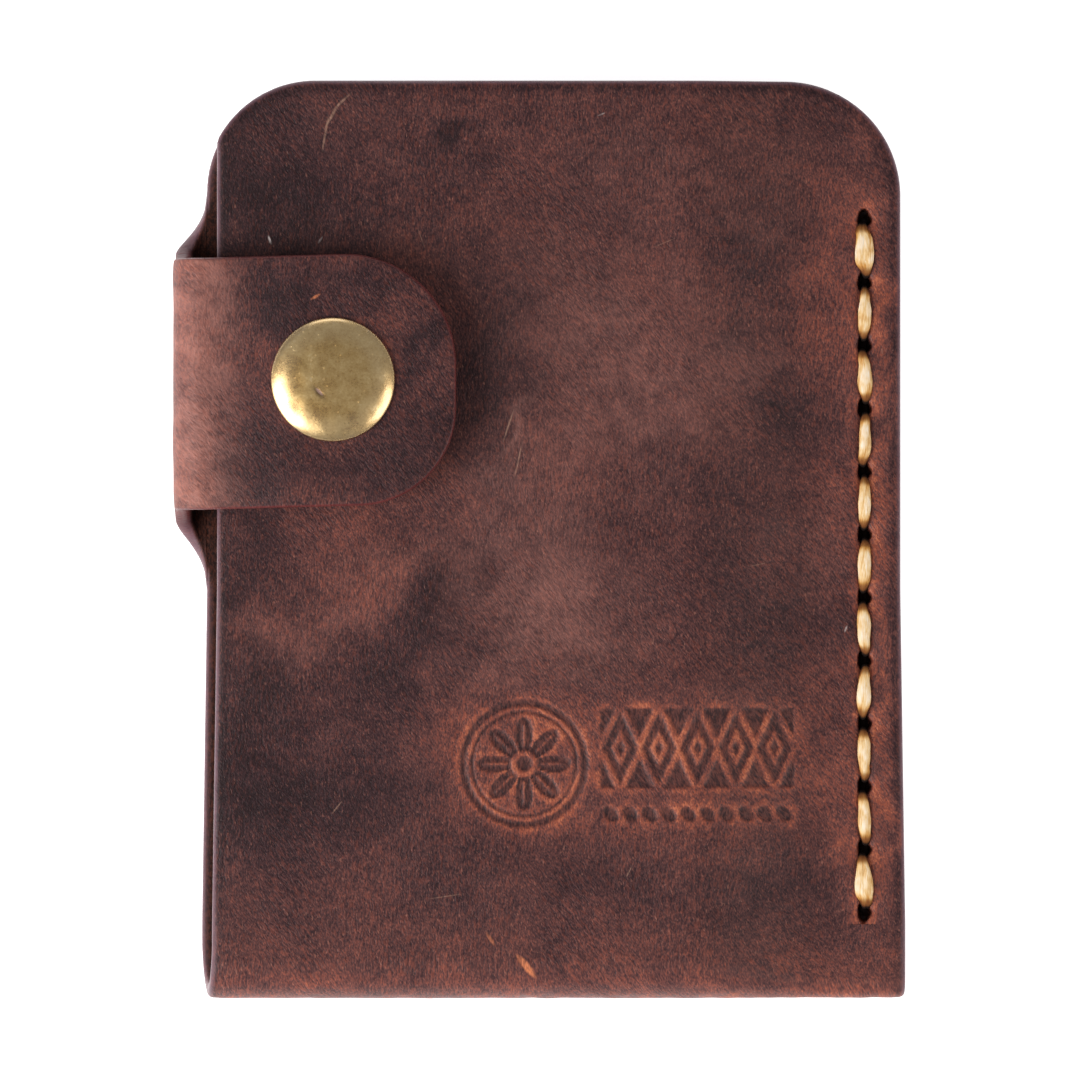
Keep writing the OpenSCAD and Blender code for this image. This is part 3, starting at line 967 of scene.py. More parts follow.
def fold_looks(x, t):
    """The turn is stretched, and rubbed whenever the wallet is put down."""
    length = t * fold_arc
    lively = 0.5 + 0.5 * ripple(x, fold_y - length, 4.5, 31)
    y = fold_y - np.minimum(t, 1 - t) * 2 * (fold_y - bottom_y)
    worn = foot_wear(y, lively)
    # The outermost part of the turn is painted a little paler: a painted sheen where the low lights
    # catch it.
    turn_sheen = 0.05 * ease(t, 0.25, 0.45) * (1 - ease(t, 0.6, 0.9))
    return {"wear": np.clip(worn, 0, 1), "bloom": turn_sheen}


fold_along = graded(0, 1, 0.018)
fold = leather_solid(
    "leather_bottom_fold", front_across[::2], fold_along, inner_across,
    fold_limits, fold_place, fold_margin, fold_relief, fold_looks,
)
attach(fold, "wallet")
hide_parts("bottom_fold")

# %% [markdown]
# ## Strap
# The strap leaves the back panel's left edge, turns up, passes the pocket and turns over on to the
# front. It is cut narrower as it goes: hollow fillets first, then a plain width, and a tip with two
# round corners. It bends when it is opened, so it is made in two lengths that meet half way up its
# side, and the line of each bend is worked out. The snap holds the strap up off the front, and
# towards its bend it dips a little.

# %% Shape of the strap
MID_R = bend_r - LEATHER / 2
QUARTER = MID_R * math.pi / 2
RISER = flap_z - 2 * bend_r
REACH = tip_x - left_x
STRAP_END = 2 * QUARTER + RISER + REACH
LOW_BEND, TOP_BEND = QUARTER / 2, 1.5 * QUARTER + RISER
middle = QUARTER + RISER / 2
UPPER_TIP_R, LOWER_TIP_R = 11.5, 9.6
TILT = 0.026
DIP = 0.9
STRAP_RIM = 0.5


def strap_limits(s):
    """The lower and upper edge of the strap at s along it: the plain width, less the
    inset of a round corner at its tip, plus that of a hollow fillet at its root."""
    low_inset = corner_inset(s, STRAP_END, LOWER_TIP_R) - corner_inset(-s, 0, LOWER_FILLET_R)
    high_inset = corner_inset(s, STRAP_END, UPPER_TIP_R) - corner_inset(-s, 0, UPPER_FILLET_R)
    return strap_y - strap_w / 2 + low_inset, strap_y + strap_w / 2 - high_inset


def strap_margin(y, s):
    """Distance from the strap's cut edge, with s along it and y across."""
    sides = strap_w / 2 - np.abs(y - strap_y)
    fillet_r = np.where(y > strap_y, UPPER_FILLET_R, LOWER_FILLET_R)
    d = np.where(s < fillet_r, root_distance(left_x - s, y), sides)
    d = np.minimum(d, STRAP_END - s)
    for radius, sign in ((LOWER_TIP_R, -1), (UPPER_TIP_R, 1)):
        cy = strap_y + sign * (strap_w / 2 - radius)
        cs = STRAP_END - radius
        corner = (s > cs) & (sign * (y - cy) > 0)
        d = np.where(corner, radius - np.hypot(s - cs, y - cy), d)
    return np.maximum(d, 0)


def strap_place(y, s, h):
    """Round the lower bend, up the side, round the upper bend and along the front."""
    r = MID_R + h
    lower = np.clip(s / MID_R, 0, math.pi / 2)
    upper = np.clip((s - QUARTER - RISER) / MID_R, 0, math.pi / 2)
    up = np.clip(s - QUARTER, 0, RISER)
    out = np.clip(s - 2 * QUARTER - RISER, 0, None)
    x = np.where(s < QUARTER + RISER / 2, -r * np.sin(lower), -r * np.cos(upper) + out)
    z = np.where(
        s < QUARTER + RISER / 2,
        bend_r - r * np.cos(lower) + up,
        bend_r + up + r * np.sin(upper),
    )
    z = z - DIP * ease(s, QUARTER, STRAP_END - REACH - 0.8) * (1 - ease(out, -1.0, 10.5))
    points = np.stack([left_x + x, y + TILT * out, z], -1)
    return points, np.stack([left_x - s, 2 * fold_y - fold_arc - y, h], -1)


def strap_relief(y, s, d):
    """A slow unevenness, fine creases at the two bends, and worn edges."""
    calm = ease(s, 0, 1.5)
    bends = bell(s, 1.6, LOW_BEND) + bell(s, 1.6, TOP_BEND)
    crease = 0.02 * bends * ripple(y * 0.35, s, 0.9, 61)
    slow = 0.05 * ripple(y, s, 9, 62)
    return (slow + crease - worn_edge(d)) * calm


print("strap:", STRAP_END.round(1), "mm along the leather, bends at", LOW_BEND.round(2),
      "and", TOP_BEND.round(2), "mm")

# %% [markdown]
# ## Colour and build of the strap
# Bent leather shows its age first. The wax pulls out of the two bends, which are light, and the
# thumb darkens the flap round the snap. The upper bend, which faces the left light, is painted
# paler still as a painted sheen. The strap is laid out in two lengths that share one set of
# functions, so that their ends meet point for point.

# %% Strap pieces
STRAP_OIL = [
    (-25, 23.5, 5, 3.5, 0, 1.1), (-11.2, 21, 1.2, 4.5, -25, 1.1), (-16, 8.5, 8, 3, 0, 0.62),
    (-12, 13, 4, 8, 0, 0.5), (-27, 8.5, 4, 5, 0, 0.75), (-17, 25, 6, 2, 0, 0.7),
    (-29.0, 18, 2, 6, 0, 0.3), (-20, 16, 11, 11, 0, 0.15),
]
STRAP_WEAR = [
    (snap_x, snap_y, 7.6, 7.6, 0, 0.5), (-29, 20, 2.5, 6, 0, 0.2), (-27, 14, 3, 4, 0, 0.2),
    (-22.5, 24.3, 1.5, 0.9, 30, 0.3),
]


def strap_looks(y, s):
    """The bends are stretched, so the wax pulls out of them and they are light. The upper bend,
    where the left light falls, also gets a pale painted sheen.
    """
    x = left_x + s - 2 * QUARTER - RISER
    lively = 0.5 + 0.5 * ripple(y, s, 4, 63)
    bends = 0.62 * bell(s, 3.0, TOP_BEND) + 0.3 * bell(s, 2.4, LOW_BEND)
    wear = bends * (0.55 + 0.45 * lively)
    # A pale painted sheen over the upper bend, where the left light falls.
    turn_sheen = ease(s, middle - 1.5, middle + 2.5) * (1 - ease(x, left_x - 1.0, left_x + 5.5))
    return {
        "wear": np.clip(wear + patches(x, y, STRAP_WEAR), 0, 1),
        "oil": np.clip(patches(x, y, STRAP_OIL), 0, 1.1),
        "bloom": turn_sheen * (0.46 + 0.36 * lively),
        "dyed": 1 - ease(s, 1.5, 6.0),
    }


strap_across = shares(rimmed(0, strap_w, 0.42))
strap_inner = shares(rimmed(0, strap_w, 2.0, rim_rows=3))
strap_parts = {
    "leather_strap_lower": graded(0, middle, 0.22),
    "leather_strap_upper": rimmed(middle, STRAP_END, 0.3, rims=(False, True)),
}
straps = {}
for part, s_rows in strap_parts.items():
    straps[part] = leather_solid(
        part, strap_across, s_rows, strap_inner,
        strap_limits, strap_place, strap_margin, strap_relief, strap_looks, STRAP_RIM,
    )


def bend_line(s_from, s_to):
    """Two points in metres on the strap's middle line, where a bend starts and ends."""
    s = np.array([s_from, s_to])
    points, _ = strap_place(np.full(2, strap_y), s, np.zeros(2))
    return [tuple(p * MM) for p in points]


low_start, low_end = bend_line(0.0, QUARTER + 0.35 * RISER)
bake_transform(straps["leather_strap_lower"])
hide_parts("strap_root", "strap_riser")
top_start, top_end = bend_line(QUARTER + 0.65 * RISER, STRAP_END - REACH + 0.5)
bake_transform(straps["leather_strap_upper"])
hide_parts("strap_flap")
print("lower bend from", np.round(low_start, 4), "to", np.round(low_end, 4), "m")

# %% [markdown]
# ## Thread
# Waxed linen thread has three twisted strands, and each strand shows its filaments. Two
# needles pass through every hole and take turns on the front. A stitch is flat and wide
# in the middle, where it is pulled down on the leather, and narrow where it dives into a
# hole. So each needle's thread is one long tube: a few points for each stitch, smoothed
# into a curve, with a width and a height that travel along with it.

# %% A tube along a path


def lengths_along(points):
    """The distance along a line of points at each of them, from 0."""
    gaps = np.linalg.norm(np.diff(points[:, :3], axis=0), axis=1)
    return np.concatenate([[0], np.cumsum(gaps)])


def blurred(rows, step, softness, ends):
    """Rows that lie step apart, each averaged with its neighbours under a bell curve of
    the given softness. ends is edge to hold both ends, or wrap for a closed outline."""
    reach = math.ceil(3 * softness / step)
    weights = np.exp(-0.5 * (np.arange(-reach, reach + 1) * step / softness) ** 2)
    padded = np.pad(rows, ((reach, reach), (0, 0)), ends)
    columns = [np.convolve(c, weights / weights.sum(), "valid") for c in padded.T]
    return np.stack(columns, 1)


def smooth_route(points, step, softness):
    """Rows of numbers, the first three a place: resampled evenly, then blurred by a bell
    curve of the given softness in millimetres, with both ends held."""
    points = np.array(points, float)
    at = lengths_along(points)
    even = np.linspace(0, at[-1], max(8, math.ceil(at[-1] / step)))
    route = np.stack([np.interp(even, at, column) for column in points.T], 1)
    return blurred(route, step, softness, "edge")


def path_frames(centre, side):
    """For each point of a path: a unit vector across it near to side, and one across both."""
    along = np.gradient(centre, axis=0)
    along /= np.linalg.norm(along, axis=1, keepdims=True)
    across = side - along * (along @ side)[:, None]
    across /= np.linalg.norm(across, axis=1, keepdims=True)
    return across, np.cross(along, across)


def tube(name, centre, side, wide, high, sides, lobes=None, ends=0.6, stain=None):
    """A closed tube: at each point an ellipse, wide and high, times lobes(angle, length).
    It closes at each end over a length of ends, as the root of 1 - (1 - t)^2. stain(y) is
    a mask of its own."""
    across, up = path_frames(centre, np.array(side, float))
    length = lengths_along(centre)
    near_end = np.clip(np.minimum(length, length[-1] - length) / ends, 0, 1)
    close = np.sqrt(1 - (1 - near_end) ** 2)
    angle = np.arange(sides) * 2 * math.pi / sides
    a, s = np.broadcast_arrays(angle[None], length[:, None])
    shape = lobes(a, s) if lobes else np.ones(a.shape)
    u = (wide * close)[:, None] * shape * np.cos(a)
    v = (high * close)[:, None] * shape * np.sin(a)
    points = centre[:, None] + u[..., None] * across[:, None] + v[..., None] * up[:, None]
    quads = ring_quads(np.arange(a.size).reshape(a.shape))
    lay = np.stack([a, s, np.zeros(a.shape)], -1).reshape(-1, 3)
    flat = points.reshape(-1, 3)
    depth = np.minimum(seam_top_z + 0.1 - flat[:, 2], flat[:, 2] - seam_low_z + 0.1)
    floats = {
        "crevice": np.clip((1.02 - shape) / 0.2, 0, 1).ravel(),
        "sunk": ease(depth, -0.45, 0.55),
        "stain": stain(flat[:, 1]) if stain else 0 * depth,
    }
    return solid_mesh(name, flat, [quads], floats, lay)


corner = smooth_route([(0, 0, 0), (5, 0, 0), (5, 5, 0)], 0.1, 0.5)
print("a blurred corner of 10 mm is now", lengths_along(corner)[-1].round(2), "mm long")

# %% [markdown]
# ## The two needles' routes
# The first needle lies on the front at every other gap. The second lies on the front at
# the gaps between, and goes back over the first and last stitch, which therefore look
# twice as wide.

# %% Stitches
STITCH_W, STITCH_H = 0.69, 0.35
HOLE_W = 0.36
ENTRY = 0.79


def hole_y(index):
    """Height of a stitch hole."""
    return first_hole + index * hole_pitch


def stitch_points(start, end, front, lane, seed, lean=0.0):
    """One stitch from hole to hole: into the leather, up on the face, and down again.
    Each row is x, y, z, half width, half height. lean moves its upper end to the left,
    and makes it narrower there."""
    random = np.random.default_rng(seed)
    sign = math.copysign(1, end - start)
    face = seam_top_z if front else seam_low_z
    out = 1 if front else -1
    y0, y1 = hole_y(start), hole_y(end)
    deep = (seam_top_z + seam_low_z) / 2
    bow = random.uniform(-0.08, 0.08)
    skew = random.uniform(-0.2, 0.2)
    fat = STITCH_W * random.uniform(0.86, 1.06)
    uneven = random.uniform(-0.13, 0.13)
    shift = random.uniform(-0.45, 0.45)
    skew, uneven = skew - sign * lean, uneven - sign * lean * 0.7
    x0, x1 = stitch_x + lane * 0.5 - skew, stitch_x + lane * 0.5 + skew
    x_mid = stitch_x + lane + bow
    lift = STITCH_H - 0.2 if front else STITCH_H - 0.28
    rows = [
        (x0, y0 + sign * (ENTRY - 0.12), deep, HOLE_W, HOLE_W),
        (x0, y0 + sign * (ENTRY - 0.08), face - out * 0.75, HOLE_W, HOLE_W),
        (x0 + lane * 0.2, y0 + sign * ENTRY, face - out * 0.25, HOLE_W, HOLE_W),
        (x0, y0 + sign * (ENTRY + 0.45), face + out * (lift - 0.1), HOLE_W + 0.14, STITCH_H),
        (x_mid, y0 + sign * (ENTRY + 1.25), face + out * lift, fat * (0.92 - uneven), STITCH_H),
        (x_mid, (y0 + y1) / 2 + shift, face + out * (lift + 0.06), fat * 1.06, STITCH_H),
        (x_mid, y1 - sign * (ENTRY + 1.25), face + out * lift, fat * (0.92 + uneven), STITCH_H),
        (x1, y1 - sign * (ENTRY + 0.45), face + out * (lift - 0.1), HOLE_W + 0.14, STITCH_H),
        (x1 + lane * 0.2, y1 - sign * ENTRY, face - out * 0.25, HOLE_W, HOLE_W),
        (x1, y1 - sign * (ENTRY - 0.08), face - out * 0.75, HOLE_W, HOLE_W),
        (x1, y1 - sign * (ENTRY - 0.12), deep, HOLE_W, HOLE_W),
    ]
    return rows


def thread_lobes(angle, length):
    """Three strands, |cos(1.5 a)| with a slow twist, and fine filaments on each."""
    turned = angle - length * 0.42
    strands = np.abs(np.cos(1.5 * turned)) ** 0.7
    filaments = np.cos(13 * angle - length * 3.1 + 1.3 * np.sin(length * 1.7))
    return 0.90 + 0.12 * strands + 0.022 * filaments


def thread_stain(y):
    """1 at a hole and 0 in the middle of a stitch: dye from the wet leather creeps in."""
    return 1 - ease(np.abs(y - nearest_hole_y(y)), ENTRY - 0.1, ENTRY + 1.5)


print("first stitch on the front: from", hole_y(0).round(2), "to", hole_y(1).round(2), "mm")

# %% [markdown]
# ## Waxed thread
# Sewn by hand, no two stitches are alike: each has its own width, bow and slant, from a
# random generator with a seed of its own, so that every run sews the same seam. Where the
# thread is doubled, both lengths move apart into lanes and lean towards each other.

# %% Waxed thread
LANE, LEAN = 0.2, 0.16
last = HOLES - 1
first_route, second_route = [], stitch_points(1, 0, True, LANE, 70, LEAN)
for gap in range(last):
    doubled = gap in (0, last - 1)
    odd = gap % 2 == 1
    lane, lean = (-LANE, LEAN) if doubled and not odd else (0.0, 0.0)
    first_route += stitch_points(gap, gap + 1, not odd, lane, 71 + gap, lean)
    second_route += stitch_points(gap, gap + 1, odd, 0.0, 91 + gap)
second_route += stitch_points(last, last - 1, True, LANE, 110, LEAN)

for node, route in {"first": first_route, "second": second_route}.items():
    smooth = smooth_route(route, 0.09, 0.24)
    thread = tube(
        f"waxed_thread_{node}", smooth[:, :3], (1, 0, 0), smooth[:, 3], smooth[:, 4],
        40, thread_lobes, stain=thread_stain,
    )
    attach(thread, "wallet")
    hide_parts(f"thread_{node}_needle")
    print(node, "needle:", lengths_along(smooth)[-1].round(1), "mm of thread")

# %% [markdown]
# ## The snap fastener
# Five pressed brass parts and a spring wire. Each pressed part is a profile turned about
# the snap's axis. A press leaves no sharp corners, so a profile is written with plain
# corners and then softened all round by the same blur that smooths the thread.

# %% Turned parts
SHEET = 0.35    # thickness of the pressed brass
GAP = 0.02      # air between two parts that lie on each other
ON_AXIS = 1e-6  # a radius below this is a point on the axis
front_in_z = front_z - LEATHER
flap_in_z = flap_z - LEATHER


def closed_profile(points, step, softness):
    """A closed outline of (radius, height), resampled evenly and softened all round. One
    that starts and ends on the axis is softened with its mirror image, then halved."""
    on_axis = points[0][0] == 0
    mirrored = [(-r, z) for r, z in reversed(points)] if on_axis else []
    ring = np.array(points + mirrored + points[:1], float)
    at = lengths_along(ring)
    half = math.ceil(at[-1] / step / 2)
    even = np.linspace(0, at[-1], 2 * half, endpoint=False)
    outline = np.stack([np.interp(even, at, c) for c in ring.T], 1)
    soft = blurred(outline, step, softness, "wrap")
    return soft[:half + 1] if on_axis else soft


def turned(name, profile, segments=96, uneven=None, looks=None):
    """A profile turned about the snap's axis. uneven(x, y, r) moves it up or down, and
    looks(x, y, r) gives its masks. A profile that starts on the axis also ends there, and
    any other one is a closed loop."""
    angle = np.arange(segments) * 2 * math.pi / segments
    r, a = np.broadcast_arrays(np.maximum(profile[:, :1], 0), angle[None])
    x, y = r * np.cos(a), r * np.sin(a)
    z = np.broadcast_to(profile[:, 1:], r.shape)
    if uneven:
        z = z + uneven(x, y, r)
    points = np.stack([snap_x + x, snap_y + y, z], -1).reshape(-1, 3)
    rings = np.arange(r.size).reshape(r.shape)
    quads = ring_quads(rings, joined=abs(profile[0, 0]) > ON_AXIS)
    masks = looks(x, y, r) if looks else {}
    return solid_mesh(name, points, [quads], {key: m.ravel() for key, m in masks.items()})


def finish_snap(piece, node, body):
    """A snap part stands for its CAD node and rides on its body."""
    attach(piece, body)
    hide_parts(node)
    return piece


print("the snap's axis is at", snap_x.round(2), snap_y.round(2), "and its cap is",
      (2 * cap_r).round(2), "mm across")

# %% [markdown]
# ## Cap
# The cap is nearly flat in the middle and turns down fast at its rim, which is rolled
# under. It has been pressed by thumbs and tapped by the setter, so it has low dents and
# one deeper nick. Its outline is a super-ellipse from the centre to the rim.

# %% Cap
CAP_H = cap_top_z - cap_foot_z
NICK_X, NICK_Y, NICK_HALF = -1.35, -1.25, 0.66
NICK_W, BRUISE_W, LIP_W = 0.18, 0.34, 0.36
ROLL_R = 0.17
roll_x, roll_top_z = cap_r - ROLL_R, cap_foot_z + 0.19
DENTS = [(-1.1, -1.25, 0.5, 0.05), (2.6, 1.6, 1.1, 0.02), (-2.8, 2.4, 1.3, 0.02),
         (1.4, -3.0, 0.9, 0.02), (3.9, -1.9, 0.6, 0.03), (-3.6, -2.6, 0.7, 0.02)]
share = np.sin(np.linspace(0, math.pi / 2, 70))
dome = (1 - share**2.6) ** (1 / 1.75)
outer = np.stack([cap_r * share, cap_foot_z + 0.24 + (CAP_H - 0.24) * dome], 1)
roll_angle = np.linspace(0, math.pi, 14)[1:]
roll = np.stack([
    roll_x + ROLL_R * np.cos(roll_angle), roll_top_z - ROLL_R * np.sin(roll_angle),
], 1)
inner_dome = outer[::-1] * [0.945, 1] - [0, SHEET]
inner_dome[:, 1] = np.maximum(inner_dome[:, 1], roll_top_z)
cap_outline = np.concatenate([outer, roll, inner_dome])


def cap_nick(x, y, width):
    """A short slanted scratch, as a soft oval that is 1 in its middle."""
    along = 0.7 * (x - NICK_X) - 0.71 * (y - NICK_Y)
    off = 0.71 * (x - NICK_X) + 0.7 * (y - NICK_Y)
    return bell(along, NICK_HALF) * bell(off, width)


def cap_dents(x, y, r):
    """Low round dents, and one nick with a raised lip."""
    total = 0.03 * cap_nick(x, y, LIP_W) - 0.09 * cap_nick(x, y, NICK_W)
    for dx, dy, size, depth in DENTS:
        total = total - depth * bell(x, size, dx) * bell(y, size, dy)
    return (total + 0.008 * ripple(x, y, 2.2, 81)) * ease(cap_r - r, 0.25, 0.9)


def cap_looks(x, y, r):
    """Masks of the nick, the bruise round it, the rim, and the shoulder that turns down, which the
    brass finish paints paler as a painted highlight.
    """
    return {
        "nick": cap_nick(x, y, NICK_W),
        "bruise": cap_nick(x, y, BRUISE_W),
        "rim": ease(r, cap_r - 0.9, cap_r),
        "shoulder": ease(r, cap_r - 3.0, cap_r - 1.3),
    }


cap = turned("brass_cap", cap_outline, 144, cap_dents, cap_looks)
finish_snap(cap, "snap_cap", "strap_end")

# %% [markdown]
# ## Posts, socket and stud
# Behind the cap, a post comes through the strap and is rolled over inside the socket.
# The socket's mouth holds a hairpin of spring wire. On the front panel the stud stands on
# its own post, and the spring's two legs snap round the stud's neck.

# %% Posts, socket and stud
POST_R, BORE_R, POST_HOLE_R = 1.25, 0.9, 1.3
socket_low_z, socket_top_z = front_z + 0.65, flap_in_z - GAP
spring_z = front_z + 0.95
WIRE_R = 0.2
roll_z = socket_top_z - 0.3
disc_r = cap_r - 1.1
post_outline = [
    (BORE_R, roll_z - 0.23), (1.7, roll_z - 0.23), (1.9, roll_z - 0.1), (1.9, roll_z),
    (POST_R, roll_z), (POST_R, cap_foot_z), (disc_r, cap_foot_z),
    (disc_r, cap_foot_z + SHEET), (BORE_R, cap_foot_z + SHEET),
]
socket_outline = [
    (2.45, socket_low_z), (4.4, socket_low_z), (5.0, socket_low_z + 0.5), (5.0, socket_top_z),
    (POST_HOLE_R, socket_top_z), (POST_HOLE_R, socket_top_z - 0.28),
    (2.45, socket_top_z - 0.28), (2.45, spring_z + 0.23), (3.35, spring_z + 0.23),
    (3.35, spring_z - 0.23), (2.45, spring_z - 0.23),
]
stud_foot, stud_top = front_z + GAP, front_z + 1.75
stud_outline = [
    (0, stud_top - 0.35), (POST_HOLE_R, stud_top - 0.35), (POST_HOLE_R, stud_foot),
    (4.4, stud_foot), (4.4, stud_foot + 0.2), (3.7, stud_foot + 0.45),
    (1.7, stud_foot + 0.5), (1.7, spring_z + WIRE_R), (2.05, spring_z + WIRE_R + 0.15),
    (2.05, stud_top - 0.25), (1.75, stud_top - 0.05), (0, stud_top),
]
stud_post_outline = [
    (BORE_R, front_in_z - 0.3), (3.6, front_in_z - 0.3), (4.0, front_in_z - 0.1),
    (4.0, front_in_z + 0.28), (POST_R, front_in_z + 0.28), (POST_R, front_z + 1.35),
    (BORE_R, front_z + 1.35),
]
snap_parts = {
    "snap_cap_post": ("brass_cap_post", post_outline, "strap_end"),
    "snap_socket": ("brass_socket", socket_outline, "strap_end"),
    "snap_stud": ("brass_stud", stud_outline, "wallet"),
    "snap_stud_post": ("brass_stud_post", stud_post_outline, "wallet"),
}
for node, (name, outline, body) in snap_parts.items():
    finish_snap(turned(name, closed_profile(outline, 0.05, 0.05)), node, body)

# %% [markdown]
# ## Spring
# One piece of hard wire, bent round half a circle and straight on both sides.

# %% Spring
GRIP_X, TURN_Y, LEG_LENGTH = 1.95, 0.8, 3.0
bend = np.linspace(0, math.pi, 40)
arc = np.stack([GRIP_X * np.cos(bend), TURN_Y + GRIP_X * np.sin(bend), 0 * bend], 1)
legs = [[GRIP_X, TURN_Y - LEG_LENGTH, 0], *arc.tolist(), [-GRIP_X, TURN_Y - LEG_LENGTH, 0]]
wire = smooth_route(np.array(legs) + [snap_x, snap_y, spring_z], 0.1, 0.08)
wire_r = np.full(len(wire), WIRE_R)
spring = tube("spring_wire", wire, (0, 0, 1), wire_r, wire_r, 20, ends=0.1)
finish_snap(spring, "snap_socket_spring", "strap_end")

# %% [markdown]
# ## Shader maths in plain Python
# A material is a sum: grain plus wear minus oil. `Value` wraps one output socket, and
# adding or multiplying values adds the Math nodes. The reflected forms let a plain
# number stand on the left, as in 1 - mask.

# %% Value


class Value:
    """An output socket that can be added, multiplied and compared as a number can."""

    def __init__(self, finish, socket):
        self.finish, self.socket = finish, socket

    def maths(self, operation, *parts):
        """A Math node, with its sockets filled in order."""
        return self.finish.node("Math", {"operation": operation}, dict(enumerate(parts)))

    def __add__(self, other):
        return self.maths("ADD", self, other)

    def __sub__(self, other):
        return self.maths("SUBTRACT", self, other)

    def __rsub__(self, other):
        return self.maths("SUBTRACT", other, self)

    def __mul__(self, other):
        return self.maths("MULTIPLY", self, other)

    __radd__, __rmul__ = __add__, __mul__

    def step(self, start, end):
        """0 below start and 1 above end, with a smooth rise between."""
        return self.finish.node("MapRange", {"interpolation_type": "SMOOTHSTEP"},
                                {"Value": self, "From Min": start, "From Max": end})


print("a value can:", *[name.strip("_") for name in vars(Value) if callable(vars(Value)[name])])

# %% [markdown]
# ## One material at a time
# `Finish` holds one material, and its one method makes any node from a type, settings
# and inputs. The short methods below it name the few patterns that all finishes share.
# `paint` takes a colour as it is seen on screen, from 0 to 255, and gives it as linear light.

# %% Finish


def paint(red, green, blue):
    """A colour as it is seen on screen, from 0 to 255, turned into linear light."""
    seen = np.array([red, green, blue]) / 255
    linear = np.where(seen <= 0.04045, seen / 12.92, ((seen + 0.055) / 1.055) ** 2.4)
    return (*linear.tolist(), 1.0)


class Finish:
    """One material, its tree and its Principled shader."""

    def __init__(self, name):
        self.material = bpy.data.materials.new(name)
        self.material.use_nodes = True
        self.tree = self.material.node_tree
        self.shader = self.tree.nodes["Principled BSDF"]

    def node(self, kind, settings=None, inputs=None, output=0):
        """A node by its type: its settings first, then the values or links of its sockets."""
        made = self.tree.nodes.new("ShaderNode" + kind)
        for key, setting in (settings or {}).items():
            setattr(made, key, setting)
        for key, part in (inputs or {}).items():
            self.plug(made.inputs[key], part)
        return Value(self, made.outputs[output])

    def plug(self, socket, part):
        """A link if the part is a value from another node, or else a plain number or colour."""
        if isinstance(part, Value):
            self.tree.links.new(part.socket, socket)
        else:
            socket.default_value = part

    def attribute(self, name, output="Fac"):
        """A number or a vector that was stored with the mesh."""
        return self.node("Attribute", {"attribute_name": name}, output=output)

    def stretched(self, vector, scale, turn=0.0):
        """A pattern's coordinates, turned about the hide's normal and then scaled."""
        rotated = self.node("VectorRotate", {"rotation_type": "Z_AXIS"},
                            {"Vector": vector, "Angle": turn})
        return self.node("VectorMath", {"operation": "MULTIPLY"}, {0: rotated, 1: scale})

    def streak(self, vector, x, y, half, width, turn):
        """A soft oval on the surface, 1 in its middle and 0 outside half and width."""
        moved = self.node("VectorMath", {"operation": "SUBTRACT"}, {0: vector, 1: (x, y, 0)})
        scaled = self.stretched(moved, (1 / half, 1 / width, 0), -turn)
        reach = self.node("VectorMath", {"operation": "LENGTH"}, {0: scaled}, output="Value")
        return 1 - reach.step(0.3, 1.0)

    def noise(self, vector, scale, detail=2.0, rough=0.5, warp=0.0):
        """Fractal noise from 0 to 1, about 0.5 on average."""
        return self.node("TexNoise", {}, {"Vector": vector, "Scale": scale, "Detail": detail,
                                          "Roughness": rough, "Distortion": warp})

    def cells(self, vector, scale):
        """Distance from the nearest cell point of a scattered pattern."""
        return self.node("TexVoronoi", {}, {"Vector": vector, "Scale": scale},
                         output="Distance")

    def blend(self, share, start, end):
        """From one colour to another."""
        return self.node("Mix", {"data_type": "RGBA"}, {0: share, 6: start, 7: end}, output=2)

    def tones(self, value, *stops):
        """A value turned into a colour, through stops of (position, colour)."""
        ramp = self.node("ValToRGB", {}, {"Fac": value})
        band = ramp.socket.node.color_ramp
        while len(band.elements) < len(stops):
            band.elements.new(0.5)
        for element, (position, colour) in zip(band.elements, stops):
            element.position = position
            element.color = colour
        return ramp

    def finished(self, constants=None, **varying):
        """Constants are set on the shader's own sockets, and varying inputs are linked."""
        for key, constant in (constants or {}).items():
            self.shader.inputs[key].default_value = constant
        for key, value in varying.items():
            self.plug(self.shader.inputs[key.replace("_", " ")], value)
        return self.material

    def bumps(self, height, distance, strength=1.0, normal=None):
        """A height in shares of distance, given in millimetres, as a normal."""
        inputs = {"Height": height, "Distance": distance * MM, "Strength": strength}
        if normal is not None:
            inputs["Normal"] = normal
        return self.node("Bump", {}, inputs)


print("a leather brown in linear light:", np.round(paint(95, 64, 65), 3))

# %% [markdown]
# ## Leather
# Oiled, waxed leather changes colour as it is handled: pressed oil makes it darker and
# bluer, and stretching pulls the wax back and leaves it orange. Over that lies the
# grain, short fine fibres that lean one way here and another way there, with small pores
# between. All patterns use the flat hide's coordinates in millimetres, so they run on
# unbroken over each fold and don't slide when the strap bends.
#
# Scratches come first. Each is a soft oval on the hide: its place, half length, half
# width, turn in radians, colour and strength. A gouge shows raw orange leather, a scuff
# is dull, and lint is a pale hair that lies on top.

# %% Scratches and lint


def on_strap(x, y):
    """Where a point of the strap's front lies on the flat hide."""
    return left_x - (x - left_x + 2 * QUARTER + RISER), 2 * fold_y - fold_arc - y


